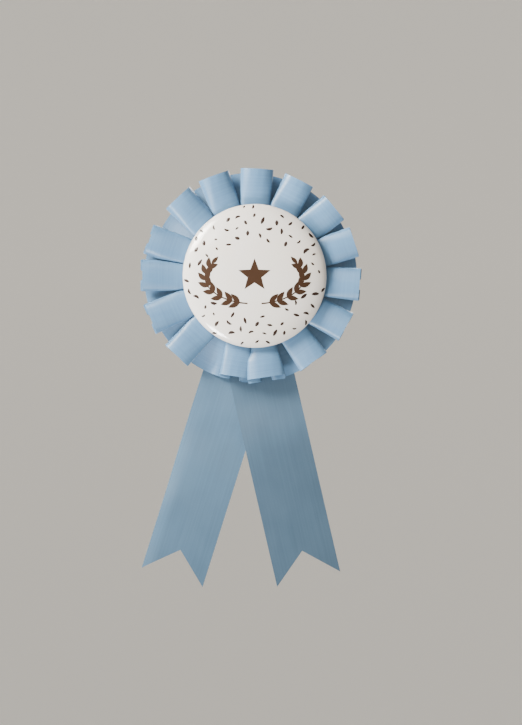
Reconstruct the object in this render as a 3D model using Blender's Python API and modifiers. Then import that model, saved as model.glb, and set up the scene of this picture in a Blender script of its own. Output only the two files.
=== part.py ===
"""Award ribbon: a box-pleated satin rosette round a domed button badge, with two
swallow-tail ribbons and a bar pin on the back.

Metres, +Z up, the front towards -Y. The origin is the centre of the back cover's rear
face. Layers are placed by their height h, which counts from that face to the front.
"""

import math

import bmesh
import bpy
from mathutils import Matrix, Vector

MM = 0.001
GAP = 0.3 * MM  # kept between pieces that touch

# Layers, as (rear, front) heights above the back cover's rear face
BACK_COVER_H = (0.0, 0.8 * MM)
STAPLE_CROWN_H = 1.35 * MM
LEFT_TAIL_H = (1.9 * MM, 2.3 * MM)
RIGHT_TAIL_H = (2.6 * MM, 3.0 * MM)
CARD_H = (3.3 * MM, 4.3 * MM)
STAPLE_LEG_H = 4.85 * MM
PLEAT_GLUE_H = (4.6 * MM, 5.3 * MM)
PLEAT_BASE_H = 5.8 * MM
BUTTON_BACK_H = (9.4 * MM, 9.8 * MM)
BUTTON_RIM_H = 10.1 * MM  # height of the button's widest line

# Discs
BACK_COVER_RADIUS = 30.0 * MM
CARD_RADIUS = 26.0 * MM
PLEAT_GLUE_RADII = (19.0 * MM, 23.5 * MM)

# Ribbon and pleats
RIBBON_WIDTH = 25.4 * MM
RIBBON_THICKNESS = 0.4 * MM
PLEATS = 15
FIRST_PLEAT = math.radians(90.0)  # from +X towards +Z: one pleat stands at the top
PLEAT_OUTER_RADIUS = 42.5 * MM
PLEAT_INNER_RADIUS = PLEAT_OUTER_RADIUS - RIBBON_WIDTH
PLEAT_FOLD = 0.9 * MM  # from one layer of ribbon to the next
PLEAT_HALF_WIDTHS = (3.1 * MM, 5.4 * MM, 6.2 * MM)  # inner edge, button's rim, outer edge
PLEAT_UNDER_SHARE = 0.35  # of the half width, left between the two folds beneath a pleat
PLEAT_PUFFS = (0.0, 0.3 * MM, 3.2 * MM)  # how far the front layer bows out at those places
PLEAT_RECESS = 1.4 * MM  # the ribbon between two pleats stands back from the pleats' ends
THREAD_RADIUS = 0.25 * MM
THREAD_RING_RADIUS = 18.2 * MM

# Button badge
BUTTON_RADIUS = 28.0 * MM
BUTTON_RISE = 5.5 * MM  # from the widest line to the crown
DOME_POWER = 2.2
FILM_DEPTHS = (0.0, 0.25 * MM)  # each layer's outer and inner depth below the film's face
PRINT_DEPTHS = (0.55 * MM, 0.8 * MM)
SHELL_DEPTHS = (1.1 * MM, 1.5 * MM)
WRAP_TURN_IN = 0.25  # of the film's and the paper's wrap past the rim
SHELL_ROLL = 1.4 * MM
SHELL_LIP_RADIUS = 24.4 * MM
BUTTON_BACK_RADIUS = 25.9 * MM
BUTTON_GLUE_RADIUS = 8.5 * MM
BUTTON_GLUE_Z = 3.0 * MM

# Tails: both are stapled where they cross, and lean away from each other
CROSSING_X = -1.6 * MM
CROSSING_Z = -19.9 * MM
TAIL_TOP = 13.0 * MM  # ribbon above the crossing
LEFT_LEAN = math.radians(-17.0)
RIGHT_LEAN = math.radians(13.0)
LEFT_TAIL_LENGTH = 101.8 * MM  # from the crossing to the points
RIGHT_TAIL_LENGTH = 100.3 * MM
NOTCH_DEPTH = 11.4 * MM
BEND_Z = -45.0 * MM  # where the tails bend, just below the pleats
BEND_H = (LEFT_TAIL_H[0] + RIGHT_TAIL_H[1]) / 2
BEND_GAP = 0.6 * MM  # on each side of the bend

# Staples
STAPLE_ZS = {"upper": -10.0 * MM, "lower": -14.5 * MM}
STAPLE_X = -1.5 * MM
STAPLE_HALF_CROWN = 6.1 * MM
STAPLE_CLINCH = 2.5 * MM
STAPLE_WIRE_RADIUS = 0.25 * MM

# Bar pin, behind the back cover
PIN_Z = 12.0 * MM
TAPE_SIZE = (24.0 * MM, 0.8 * MM, 4.2 * MM)
BAR_LENGTH = 30.0 * MM
BAR_WIDTH = 5.0 * MM
BAR_THICKNESS = 0.6 * MM
BAR_Y = BACK_COVER_H[0] + GAP + TAPE_SIZE[1] + GAP  # front face of the bar
BAR_HOLE_RADIUS = 0.9 * MM
BAR_HOLE_X = 5.0 * MM
HINGE_X = -12.5 * MM
HINGE_Y = 3.9 * MM
EAR_RADIUS = 1.6 * MM
EAR_Z = (1.5 * MM, 2.0 * MM)  # inner and outer face, from the bar's middle
RIVET_RADIUS = 0.5 * MM
RIVET_HEAD_RADIUS = 1.0 * MM
RIVET_HEAD_HEIGHT = 0.4 * MM
RIVET_HEAD_CHAMFER = 0.1 * MM
RIVET_CLEARANCE = 0.1 * MM
NEEDLE_RADIUS = 0.4 * MM
EYE_RADIUS = 1.1 * MM
NEEDLE_TIP_X = 14.3 * MM
NEEDLE_TAPER = 1.6 * MM
CATCH_X = (11.2 * MM, 13.4 * MM)
CATCH_Y = HINGE_Y + EYE_RADIUS  # the needle's shank runs through the catch's centre
CATCH_RADII = (1.95 * MM, 2.6 * MM)
CATCH_MOUTH = (math.radians(-22.0), math.radians(118.0))  # from +Y towards +Z
CATCH_FOOT = (1.0 * MM, 1.2 * MM)  # half width, and height over the bar
LOCK_RADII = (0.75 * MM, 1.85 * MM)
LOCK_HALF_SLOT = 0.6 * MM
LOCK_TAB_RADIUS = 3.8 * MM
LOCK_TAB_HALF = 0.5 * MM
LOCK_TAB_ANGLE = math.radians(98.0)

ROUND_STEPS = 40
SMALL_STEPS = 24

# Local XY to the object's XZ, with local +Z towards the front
TO_FRONT = Matrix.Rotation(math.radians(90), 4, "X")
# Local X, Y, Z to world Y, Z, X: for outlines drawn across the bar pin
ACROSS_BAR = Matrix(((0, 0, 1, 0), (1, 0, 0, 0), (0, 1, 0, 0), (0, 0, 0, 1)))


def clear_scene():
    for obj in list(bpy.data.objects):
        bpy.data.objects.remove(obj)


def new_collection(name):
    collection = bpy.data.collections.new(name)
    bpy.context.scene.collection.children.link(collection)
    return collection


clear_scene()
PARTS = new_collection("award_ribbon")
CUTTERS = new_collection("cutters")


def material(name, colour, roughness, metallic=0.0):
    """A Principled material of one colour."""
    made = bpy.data.materials.new(name)
    made.use_nodes = True
    shader = made.node_tree.nodes["Principled BSDF"]
    shader.inputs["Base Color"].default_value = (*colour, 1.0)
    shader.inputs["Roughness"].default_value = roughness
    shader.inputs["Metallic"].default_value = metallic
    return made


def add(name, data, look, matrix=None, parts=PARTS):
    """An object for this mesh or curve, with its material, in its collection."""
    obj = bpy.data.objects.new(name, data)
    data.materials.append(look)
    obj.matrix_world = matrix or Matrix()
    parts.objects.link(obj)
    return obj


def smooth(mesh, degrees=40):
    mesh.shade_smooth()
    mesh.set_sharp_from_angle(angle=math.radians(degrees))


def arc(x, y, radius, start, end, steps):
    """Points on an arc from the start angle to the end angle, both included."""
    turns = [start + (end - start) * i / steps for i in range(steps + 1)]
    return [(x + radius * math.cos(a), y + radius * math.sin(a)) for a in turns]


def circle(x, y, radius, steps):
    return arc(x, y, radius, 0, math.tau, steps)[:-1]


def outline_curve(name, outlines, thickness):
    """A filled 2D curve of these outlines, extruded by half its thickness each way."""
    curve = bpy.data.curves.new(name, "CURVE")
    curve.dimensions = "2D"
    curve.fill_mode = "BOTH"
    curve.extrude = thickness / 2
    for points in outlines:
        spline = curve.splines.new("POLY")
        spline.points.add(len(points) - 1)
        for spot, (x, y) in zip(spline.points, points):
            spot.co = (x, y, 0, 1)
        spline.use_cyclic_u = True
    return curve


def wire_curve(name, points, radius, taper=None):
    """A round wire through these points; taper is the relative radius at each point."""
    curve = bpy.data.curves.new(name, "CURVE")
    curve.dimensions = "3D"
    curve.bevel_depth = radius
    curve.bevel_resolution = 2
    curve.use_fill_caps = True
    spline = curve.splines.new("POLY")
    spline.points.add(len(points) - 1)
    for i, (spot, point) in enumerate(zip(spline.points, points)):
        spot.co = (*point, 1)
        spot.radius = taper[i] if taper else 1.0
    return curve


def as_mesh(obj):
    """The curve object made a mesh with its caps welded, so that it takes a Boolean."""
    graph = bpy.context.evaluated_depsgraph_get()
    mesh = bpy.data.meshes.new_from_object(obj.evaluated_get(graph))
    bm = bmesh.new()
    bm.from_mesh(mesh)
    bmesh.ops.remove_doubles(bm, verts=bm.verts, dist=1e-6)
    bmesh.ops.recalc_face_normals(bm, faces=bm.faces)
    bm.to_mesh(mesh)
    bm.free()
    name, matrix, parts = obj.name, obj.matrix_world.copy(), obj.users_collection[0]
    curve = obj.data
    bpy.data.objects.remove(obj)
    bpy.data.curves.remove(curve)
    made = bpy.data.objects.new(name, mesh)
    made.matrix_world = matrix
    parts.objects.link(made)
    return made


def join(target, tool):
    """Joins the tool's shape to the target's with a Boolean, and hides the tool."""
    tool.hide_render = True
    tool.display_type = "WIRE"
    union = target.modifiers.new("join_" + tool.name, "BOOLEAN")
    union.operation = "UNION"
    union.object = tool


def turned(name, profile, look, matrix=TO_FRONT, steps=ROUND_STEPS, closed=False):
    """A profile of (radius, height), top to bottom on its outer side, turned round Z."""
    mesh = bpy.data.meshes.new(name)
    edges = [(i, i + 1) for i in range(len(profile) - 1)]
    if closed:
        edges.append((len(profile) - 1, 0))
    mesh.from_pydata([(r, 0, h) for r, h in profile], edges, [])
    obj = add(name, mesh, look, matrix)
    screw = obj.modifiers.new("turn", "SCREW")
    screw.steps = screw.render_steps = steps
    screw.use_merge_vertices = True
    screw.merge_threshold = 1e-5
    screw.use_smooth_shade = True
    return obj


def disc(name, radius, heights, look, centre=(0.0, 0.0), steps=ROUND_STEPS):
    """A flat round piece facing the front, between two heights."""
    rear, front = heights
    profile = [(0, front), (radius, front), (radius, rear), (0, rear)]
    matrix = Matrix.Translation((centre[0], 0, centre[1])) @ TO_FRONT
    return turned(name, profile, look, matrix, steps)


def sheet(name, outlines, heights, look, origin=(0.0, 0.0, 0.0)):
    """A flat piece facing the front, whose outlines are given in X and Z."""
    rear, front = heights
    ox, oy, oz = origin
    local = [[(x - ox, z - oz) for x, z in points] for points in outlines]
    curve = outline_curve(name, local, front - rear)
    curve.transform(Matrix.Translation((0, 0, (rear + front) / 2 + oy)))
    return add(name, curve, look, Matrix.Translation(origin) @ TO_FRONT)


def staple_holes():
    """Round holes where the staples' legs pass through the card and the tails."""
    sides = (-STAPLE_HALF_CROWN, STAPLE_HALF_CROWN)
    radius = STAPLE_WIRE_RADIUS + GAP
    return [circle(STAPLE_X + side, z, radius, 12) for z in STAPLE_ZS.values() for side in sides]


# Button badge --------------------------------------------------------------------------


def dome(depth, steps=9):
    """Points from the crown to the widest line, on the face this far below the film's."""
    radius = BUTTON_RADIUS - depth
    rise = BUTTON_RISE - depth
    points = []
    for i in range(steps + 1):
        share = math.sin(math.pi / 2 * i / steps)
        height = rise * math.sqrt(max(0.0, 1 - share**DOME_POWER))
        points.append((radius * share, BUTTON_RIM_H + height))
    return points


def domed_skin(name, depths, wrap, look):
    """A thin skin over the dome that wraps this far round the rim."""
    outer, inner = depths
    turn_in = wrap * WRAP_TURN_IN
    skirt = [
        (BUTTON_RADIUS - outer - turn_in, BUTTON_RIM_H - wrap),
        (BUTTON_RADIUS - inner - turn_in, BUTTON_RIM_H - wrap),
    ]
    return turned(name, dome(outer) + skirt + dome(inner)[::-1], look)


def button_shell(look):
    """The pressed dome, rolled under at the rim into a lip that grips the back."""
    outer, inner = SHELL_DEPTHS
    wall = inner - outer
    centre = BUTTON_RADIUS - outer - SHELL_ROLL
    roll_out = arc(centre, BUTTON_RIM_H, SHELL_ROLL, 0, -math.pi / 2, 5)
    roll_in = arc(centre, BUTTON_RIM_H, SHELL_ROLL - wall, -math.pi / 2, 0, 5)
    lip_h = BUTTON_RIM_H - SHELL_ROLL
    lip = [(SHELL_LIP_RADIUS, lip_h), (SHELL_LIP_RADIUS, lip_h + wall)]
    profile = dome(outer)[:-1] + roll_out + lip + roll_in + dome(inner)[::-1][1:]
    return turned("button_shell", profile, look)


def button():
    film = material("clear_film", (0.9, 0.9, 0.9), 0.08)
    paper = material("printed_paper", (0.78, 0.76, 0.72), 0.5)
    tin = material("tinplate", (0.6, 0.6, 0.6), 0.3, 1.0)
    glue = material("hot_melt", (0.8, 0.78, 0.7), 0.4)
    domed_skin("button_film", FILM_DEPTHS, 1.2 * MM, film)
    domed_skin("button_print", PRINT_DEPTHS, 0.8 * MM, paper)
    button_shell(tin)
    disc("button_back", BUTTON_BACK_RADIUS, BUTTON_BACK_H, tin)
    puck = (CARD_H[1] + GAP, BUTTON_BACK_H[0] - GAP)
    disc("button_glue", BUTTON_GLUE_RADIUS, puck, glue, (0.0, BUTTON_GLUE_Z), SMALL_STEPS)


# Rosette ---------------------------------------------------------------------------------


def half_pleat(half_width, puff):
    """Half of one pleat across the ribbon's run, as (offset, height, set back), from the
    ribbon beneath the pleat, out along its folded layer, round the side and up to the middle."""
    under = PLEAT_UNDER_SHARE * half_width
    bend = PLEAT_FOLD / 2
    base, middle, front = (PLEAT_BASE_H + PLEAT_FOLD * i for i in range(3))
    points = [
        (under, base, PLEAT_RECESS),
        (under - bend, base + bend, PLEAT_RECESS / 2),
        (under, middle, 0.0),
        (half_width - bend, middle, 0.0),
        (half_width, middle + bend, 0.0),
    ]
    crown = half_width - bend
    for share in (1.0, 0.85, 0.5, 0.0):
        points.append((crown * share, front + puff * (1 - share**2), 0.0))
    return points


def pleat_station(radius, half_width, puff):
    """The whole ring of ribbon at one radius: for each pleat the ribbon before it, then
    the pleat itself."""
    step = math.tau / PLEATS
    half = half_pleat(half_width, puff)
    run = [(-t, h, back) for t, h, back in half] + half[-2::-1]
    ring = []
    for i in range(PLEATS):
        angle = FIRST_PLEAT + i * step
        gap_angle = angle - step / 2
        between = Vector((math.cos(gap_angle), 0, math.sin(gap_angle))) * (radius - PLEAT_RECESS)
        ring.append(between + Vector((0, -PLEAT_BASE_H, 0)))
        along = Vector((math.cos(angle), 0, math.sin(angle)))
        across = Vector((-along.z, 0, along.x))
        for t, h, back in run:
            ring.append(along * (radius - back) + across * t + Vector((0, -h, 0)))
    return ring


def pleat_ribbon(look):
    """One ribbon in a closed ring of box pleats: a loft between rings at three radii."""
    radii = (PLEAT_INNER_RADIUS, BUTTON_RADIUS, PLEAT_OUTER_RADIUS)
    stations = [pleat_station(*each) for each in zip(radii, PLEAT_HALF_WIDTHS, PLEAT_PUFFS)]
    bm = bmesh.new()
    rows = [[bm.verts.new(point) for point in ring] for ring in stations]
    for inner, outer in zip(rows, rows[1:]):
        for i in range(len(inner)):
            bm.faces.new((inner[i - 1], outer[i - 1], outer[i], inner[i]))
    mesh = bpy.data.meshes.new("pleat_ribbon")
    bm.to_mesh(mesh)
    bm.free()
    smooth(mesh)
    obj = add("pleat_ribbon", mesh, look)
    wall = obj.modifiers.new("wall", "SOLIDIFY")
    wall.thickness = RIBBON_THICKNESS
    wall.offset = 0.0


def pleat_thread(look):
    """The stitching thread, lying as one ring on the front of the pleats' inner edges."""
    top = PLEAT_BASE_H + 2 * PLEAT_FOLD + RIBBON_THICKNESS / 2
    height = top + PLEAT_PUFFS[1] + THREAD_RADIUS + GAP / 2
    section = circle(THREAD_RING_RADIUS, height, THREAD_RADIUS, 6)[::-1]
    turned("pleat_thread", section, look, closed=True)


def back_cover(look):
    """A card disc, its flat faces split level with the middle so that the lower half of
    the rear face is free of the bar pin."""
    rear, front = BACK_COVER_H
    bm = bmesh.new()
    bmesh.ops.create_cone(
        bm,
        cap_ends=True,
        segments=ROUND_STEPS,
        radius1=BACK_COVER_RADIUS,
        radius2=BACK_COVER_RADIUS,
        depth=front - rear,
    )
    parts = bm.verts[:] + bm.edges[:] + bm.faces[:]
    bmesh.ops.bisect_plane(bm, geom=parts, dist=1e-6, plane_co=(0, 0, 0), plane_no=(0, 1, 0))
    mesh = bpy.data.meshes.new("back_cover")
    bm.to_mesh(mesh)
    bm.free()
    smooth(mesh)
    add("back_cover", mesh, look, TO_FRONT @ Matrix.Translation((0, 0, (rear + front) / 2)))


def rosette():
    satin = material("blue_satin", (0.42, 0.56, 0.68), 0.45)
    board = material("grey_board", (0.45, 0.43, 0.4), 0.8)
    cover = material("white_card", (0.75, 0.74, 0.7), 0.7)
    thread = material("blue_thread", (0.35, 0.5, 0.62), 0.6)
    glue = material("hot_melt_ring", (0.8, 0.78, 0.7), 0.4)
    pleat_ribbon(satin)
    pleat_thread(thread)
    inner, outer = PLEAT_GLUE_RADII
    rear, front = PLEAT_GLUE_H
    ring = [(inner, front), (outer, front), (outer, rear), (inner, rear)]
    turned("pleat_glue", ring, glue, closed=True)
    sheet("rosette_card", [circle(0, 0, CARD_RADIUS, ROUND_STEPS)] + staple_holes(), CARD_H, board)
    back_cover(cover)


# Tails -----------------------------------------------------------------------------------


def tail_frame(lean):
    """Directions down and across a tail, in X and Z."""
    down = Vector((math.sin(lean), -math.cos(lean)))
    return down, Vector((math.cos(lean), math.sin(lean)))


def tail_spot(lean, length, offset):
    """The point this far down the tail from the crossing, and this far across it."""
    down, across = tail_frame(lean)
    spot = Vector((CROSSING_X, CROSSING_Z)) + down * length + across * offset
    return spot.x, spot.y


def tail_edge_at(lean, offset, z):
    """The point at height z on the line this far across the tail."""
    down, across = tail_frame(lean)
    length = (z - CROSSING_Z - across.y * offset) / down.y
    return tail_spot(lean, length, offset)


def tail(side, lean, length, heights, look):
    """One tail: the part held under the rosette, and the part that swings below the bend."""
    half = RIBBON_WIDTH / 2
    above, below = BEND_Z + BEND_GAP, BEND_Z - BEND_GAP
    held = [
        tail_spot(lean, -TAIL_TOP, -half),
        tail_edge_at(lean, -half, above),
        tail_edge_at(lean, half, above),
        tail_spot(lean, -TAIL_TOP, half),
    ]
    sheet(f"tail_{side}_anchor", [held] + staple_holes(), heights, look)
    hanging = [
        tail_edge_at(lean, -half, below),
        tail_spot(lean, length, -half),
        tail_spot(lean, length - NOTCH_DEPTH, 0),
        tail_spot(lean, length, half),
        tail_edge_at(lean, half, below),
    ]
    sheet(f"tail_{side}", [hanging], heights, look, (0, -BEND_H, BEND_Z))


def staple(place, z, look):
    """A wire staple: crown behind the tails, legs through them, clinched on the card."""
    points = []
    for side in (-1, 1):
        leg_x = STAPLE_X + side * STAPLE_HALF_CROWN
        leg = [
            (leg_x - side * STAPLE_CLINCH, -STAPLE_LEG_H, z),
            (leg_x, -STAPLE_LEG_H, z),
            (leg_x, -STAPLE_CROWN_H, z),
        ]
        points += leg if side < 0 else leg[::-1]
    name = f"tail_staple_{place}"
    add(name, wire_curve(name, points, STAPLE_WIRE_RADIUS), look)


def tails():
    satin = material("blue_satin_tail", (0.4, 0.54, 0.66), 0.45)
    steel = material("staple_wire", (0.6, 0.6, 0.6), 0.35, 1.0)
    tail("left", LEFT_LEAN, LEFT_TAIL_LENGTH, LEFT_TAIL_H, satin)
    tail("right", RIGHT_LEAN, RIGHT_TAIL_LENGTH, RIGHT_TAIL_H, satin)
    for place, z in STAPLE_ZS.items():
        staple(place, z, steel)


# Bar pin ---------------------------------------------------------------------------------


def box(name, low, high, look, parts=PARTS):
    """A block between two opposite corners."""
    bm = bmesh.new()
    bmesh.ops.create_cube(bm, size=1.0)
    size = Vector(high) - Vector(low)
    middle = (Vector(high) + Vector(low)) / 2
    for vert in bm.verts:
        vert.co = Vector((a * b for a, b in zip(vert.co, size))) + middle
    mesh = bpy.data.meshes.new(name)
    bm.to_mesh(mesh)
    bm.free()
    return add(name, mesh, look, parts=parts)


def hinge_ear(name, z, look):
    """One ear of the hinge, with the rivet's hole."""
    foot = BAR_Y + BAR_THICKNESS / 2
    edge = [(HINGE_X - EAR_RADIUS, foot), (HINGE_X + EAR_RADIUS, foot)]
    edge += arc(HINGE_X, HINGE_Y, EAR_RADIUS, 0, math.pi, 10)
    hole = circle(HINGE_X, HINGE_Y, RIVET_RADIUS + RIVET_CLEARANCE, 16)
    curve = outline_curve(name, [edge, hole], EAR_Z[1] - EAR_Z[0])
    return as_mesh(add(name, curve, look, Matrix.Translation((0, 0, z)), CUTTERS))


def catch_housing(look):
    """The open ring that the lock turns in."""
    inner, outer = CATCH_RADII
    low, high = CATCH_MOUTH
    ring = arc(0, 0, outer, high, low + math.tau, 20)
    ring += arc(0, 0, inner, low + math.tau, high, 20)
    curve = outline_curve("catch_housing", [ring], CATCH_X[1] - CATCH_X[0])
    place = Matrix.Translation((sum(CATCH_X) / 2, CATCH_Y, PIN_Z)) @ ACROSS_BAR
    return as_mesh(add("catch_housing", curve, look, place, CUTTERS))


def pin_base(look):
    """The bar with its round ends and glue holes, two hinge ears and the catch housing."""
    end = BAR_WIDTH / 2
    side = BAR_LENGTH / 2 - end
    bar = arc(side, 0, end, -math.pi / 2, math.pi / 2, 8)
    bar += arc(-side, 0, end, math.pi / 2, 3 * math.pi / 2, 8)
    holes = [circle(x, 0, BAR_HOLE_RADIUS, 12) for x in (-BAR_HOLE_X, BAR_HOLE_X)]
    curve = outline_curve("pin_base", [bar] + holes, BAR_THICKNESS)
    middle = Matrix.Translation((0, BAR_Y + BAR_THICKNESS / 2, PIN_Z))
    base = as_mesh(add("pin_base", curve, look, middle @ TO_FRONT))
    ear_middle = sum(EAR_Z) / 2
    for name, z in (("ear_lower", PIN_Z - ear_middle), ("ear_upper", PIN_Z + ear_middle)):
        join(base, hinge_ear(name, z, look))
    half, rise = CATCH_FOOT
    top = BAR_Y + BAR_THICKNESS
    low = (CATCH_X[0], top - BAR_THICKNESS / 2, PIN_Z - half)
    high = (CATCH_X[1], top + rise - BAR_THICKNESS / 2, PIN_Z + half)
    join(base, box("catch_foot", low, high, look, CUTTERS))
    join(base, catch_housing(look))


def pin_rivet(look):
    """A rivet with a flat head outside each ear."""
    seat = EAR_Z[1] + RIVET_CLEARANCE
    end = seat + RIVET_HEAD_HEIGHT
    edge = RIVET_HEAD_RADIUS - RIVET_HEAD_CHAMFER
    upper = [
        (0, end),
        (edge, end),
        (RIVET_HEAD_RADIUS, end - RIVET_HEAD_CHAMFER),
        (RIVET_HEAD_RADIUS, seat),
        (RIVET_RADIUS, seat),
    ]
    profile = upper + [(r, -h) for r, h in upper[::-1]]
    place = Matrix.Translation((HINGE_X, HINGE_Y, PIN_Z))
    turned("pin_rivet", profile, look, place, 16)


def pin_needle(look):
    """The wire needle: an eye round the rivet, a straight shank and a ground point."""
    eye = [(x, y, 0) for x, y in arc(0, 0, EYE_RADIUS, math.tau, math.pi / 2, 18)]
    tip = NEEDLE_TIP_X - HINGE_X
    shank = [
        (tip * 0.5, EYE_RADIUS, 0),
        (tip - NEEDLE_TAPER, EYE_RADIUS, 0),
        (tip, EYE_RADIUS, 0),
    ]
    taper = [1.0] * (len(eye) + 2) + [0.2]
    curve = wire_curve("pin_needle", eye + shank, NEEDLE_RADIUS, taper)
    add("pin_needle", curve, look, Matrix.Translation((HINGE_X, HINGE_Y, PIN_Z)))


def catch_lock(look):
    """The sleeve that turns in the housing: a slot for the needle, and a thumb tab."""
    inner, outer = LOCK_RADII
    slot_out = math.asin(LOCK_HALF_SLOT / outer)
    slot_in = math.asin(LOCK_HALF_SLOT / inner)
    tab_turn = math.asin(LOCK_TAB_HALF / outer)
    tab_reach = math.sqrt(LOCK_TAB_RADIUS**2 - LOCK_TAB_HALF**2)
    along = Vector((math.cos(LOCK_TAB_ANGLE), math.sin(LOCK_TAB_ANGLE)))
    across = Vector((-along.y, along.x)) * LOCK_TAB_HALF
    tab = [along * tab_reach - across, along * tab_reach + across]
    edge = arc(0, 0, outer, slot_out, LOCK_TAB_ANGLE - tab_turn, 6)
    edge += [tuple(point) for point in tab]
    edge += arc(0, 0, outer, LOCK_TAB_ANGLE + tab_turn, math.tau - slot_out, 16)
    edge += arc(0, 0, inner, math.tau - slot_in, slot_in, 14)
    curve = outline_curve("catch_lock", [edge], CATCH_X[1] - CATCH_X[0])
    place = Matrix.Translation((sum(CATCH_X) / 2, CATCH_Y, PIN_Z))
    add("catch_lock", curve, look, place @ ACROSS_BAR)


def bar_pin():
    foam = material("foam_tape", (0.8, 0.8, 0.78), 0.9)
    nickel = material("nickelled_steel", (0.7, 0.69, 0.66), 0.25, 1.0)
    wire = material("needle_steel", (0.65, 0.65, 0.65), 0.2, 1.0)
    half_x, half_z = TAPE_SIZE[0] / 2, TAPE_SIZE[2] / 2
    low = (-half_x, GAP, PIN_Z - half_z)
    high = (half_x, GAP + TAPE_SIZE[1], PIN_Z + half_z)
    box("pin_tape", low, high, foam)
    pin_base(nickel)
    pin_rivet(nickel)
    pin_needle(wire)
    catch_lock(nickel)


button()
rosette()
tails()
bar_pin()
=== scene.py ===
"""The looks of the award ribbon: a satin rosette round a domed button badge, with two
swallow-tail ribbons in front of a card cover and a bar pin.

Metres, +Z up, the front towards -Y. A height h counts from the card cover's rear face
(y = 0) towards the front, so y = -h.
"""

import logging
import math
from dataclasses import dataclass, field
from enum import Enum
from functools import partial

import bmesh
import bpy
import numpy as np
from mathutils import Matrix, Vector


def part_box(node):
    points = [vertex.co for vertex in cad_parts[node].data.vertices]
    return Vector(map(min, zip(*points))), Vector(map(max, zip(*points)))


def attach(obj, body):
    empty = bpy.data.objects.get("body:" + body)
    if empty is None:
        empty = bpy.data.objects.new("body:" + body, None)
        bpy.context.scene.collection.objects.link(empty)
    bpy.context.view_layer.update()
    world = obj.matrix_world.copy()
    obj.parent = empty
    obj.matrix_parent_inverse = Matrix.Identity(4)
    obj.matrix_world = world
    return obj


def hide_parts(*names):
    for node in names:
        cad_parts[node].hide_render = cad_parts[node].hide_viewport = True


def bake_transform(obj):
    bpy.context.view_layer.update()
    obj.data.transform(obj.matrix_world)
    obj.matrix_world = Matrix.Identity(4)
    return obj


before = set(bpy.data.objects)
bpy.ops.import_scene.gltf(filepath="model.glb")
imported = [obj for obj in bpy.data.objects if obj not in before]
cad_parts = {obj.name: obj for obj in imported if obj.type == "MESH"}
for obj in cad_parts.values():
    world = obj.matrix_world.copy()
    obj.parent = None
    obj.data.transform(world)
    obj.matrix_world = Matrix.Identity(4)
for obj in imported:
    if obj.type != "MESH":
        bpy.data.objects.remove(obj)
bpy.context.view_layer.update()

LOG = logging.getLogger("award_ribbon")
MM = 0.001
RIBBON_WIDTH = 25.4  # mm: one-inch satin
CLOTH_MAP = "cloth"  # UV map of every ribbon: millimetres across it, then along it
FACE_FRONT = Matrix.Rotation(math.radians(90), 4, "X")  # turns +Z to the front, -Y
MIX_SHARE, MIX_FIRST, MIX_SECOND, MIX_COLOUR = 0, 6, 7, 2  # a colour Mix node's sockets
Tree = bpy.types.NodeTree
Socket = bpy.types.NodeSocket


class Body(Enum):
    """The bodies that pieces ride on."""

    ROSETTE = "rosette"
    LEFT_TAIL = "left_tail"
    RIGHT_TAIL = "right_tail"
    NEEDLE = "needle"
    LOCK = "lock"


class Side(Enum):
    """Which of the two tails."""

    LEFT = "left"
    RIGHT = "right"


# Small helpers ---------------------------------------------------------------------------


def srgb(code: str) -> tuple[float, float, float, float]:
    """Turns an sRGB hex colour to linear.

    Args:
        code: the colour as "#RRGGBB".

    Returns:
        Linear red, green and blue, and an alpha of 1.
    """
    parts = [int(code[i : i + 2], 16) / 255 for i in (1, 3, 5)]
    linear = [c / 12.92 if c <= 0.04045 else ((c + 0.055) / 1.055) ** 2.4 for c in parts]
    return (*linear, 1.0)


def add_node(
    tree: Tree, kind: str, inputs: dict | list | None = None, **settings: object
) -> bpy.types.NodeOutputs:
    """Adds one node with its settings and links.

    Args:
        tree: the node tree that takes it.
        kind: the node type's identifier.
        inputs: values or output sockets to link, by an input's name or index, or as a
            list in the node's own order. A list of sockets joins them all in one input.
        settings: the node's own properties.

    Returns:
        The new node's outputs.
    """
    node = tree.nodes.new(kind)
    for key, value in settings.items():
        setattr(node, key, value)
    pairs = inputs.items() if isinstance(inputs, dict) else enumerate(inputs or [])
    for key, value in pairs:
        for each in value if isinstance(value, list) else [value]:
            if isinstance(each, Socket):
                tree.links.new(each, node.inputs[key])
            else:
                node.inputs[key].default_value = each
    return node.outputs


def smoothstep(low: float, high: float, value: float) -> float:
    """Eases from 0 at low to 1 at high.

    Args:
        low: where it starts.
        high: where it ends.
        value: the place.

    Returns:
        The eased share.
    """
    share = min(max((value - low) / (high - low), 0.0), 1.0)
    return share * share * (3 - 2 * share)


def placed(name: str, mesh: bpy.types.Mesh) -> bpy.types.Object:
    """Adds an object for a mesh to the scene, at the origin.

    Args:
        name: the piece's name.
        mesh: its mesh, already in place.

    Returns:
        The new object.
    """
    mesh.name = name
    made = bpy.data.objects.new(name, mesh)
    bpy.context.scene.collection.objects.link(made)
    return made


def outward(mesh: bpy.types.Mesh, merge: float = 1e-6) -> None:
    """Merges a mesh's doubles and turns its faces outwards.

    Args:
        mesh: the mesh to change.
        merge: how close two points count as one, in metres.
    """
    bm = bmesh.new()
    bm.from_mesh(mesh)
    bmesh.ops.remove_doubles(bm, verts=bm.verts, dist=merge)
    bmesh.ops.recalc_face_normals(bm, faces=bm.faces)
    bm.to_mesh(mesh)
    bm.free()


def shade(mesh: bpy.types.Mesh, degrees: float = 35.0) -> None:
    """Shades a mesh smooth, except over edges sharper than this.

    Args:
        mesh: the mesh to change.
        degrees: the sharpest angle that still looks round.
    """
    mesh.shade_smooth()
    mesh.set_sharp_from_angle(angle=math.radians(degrees))


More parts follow.
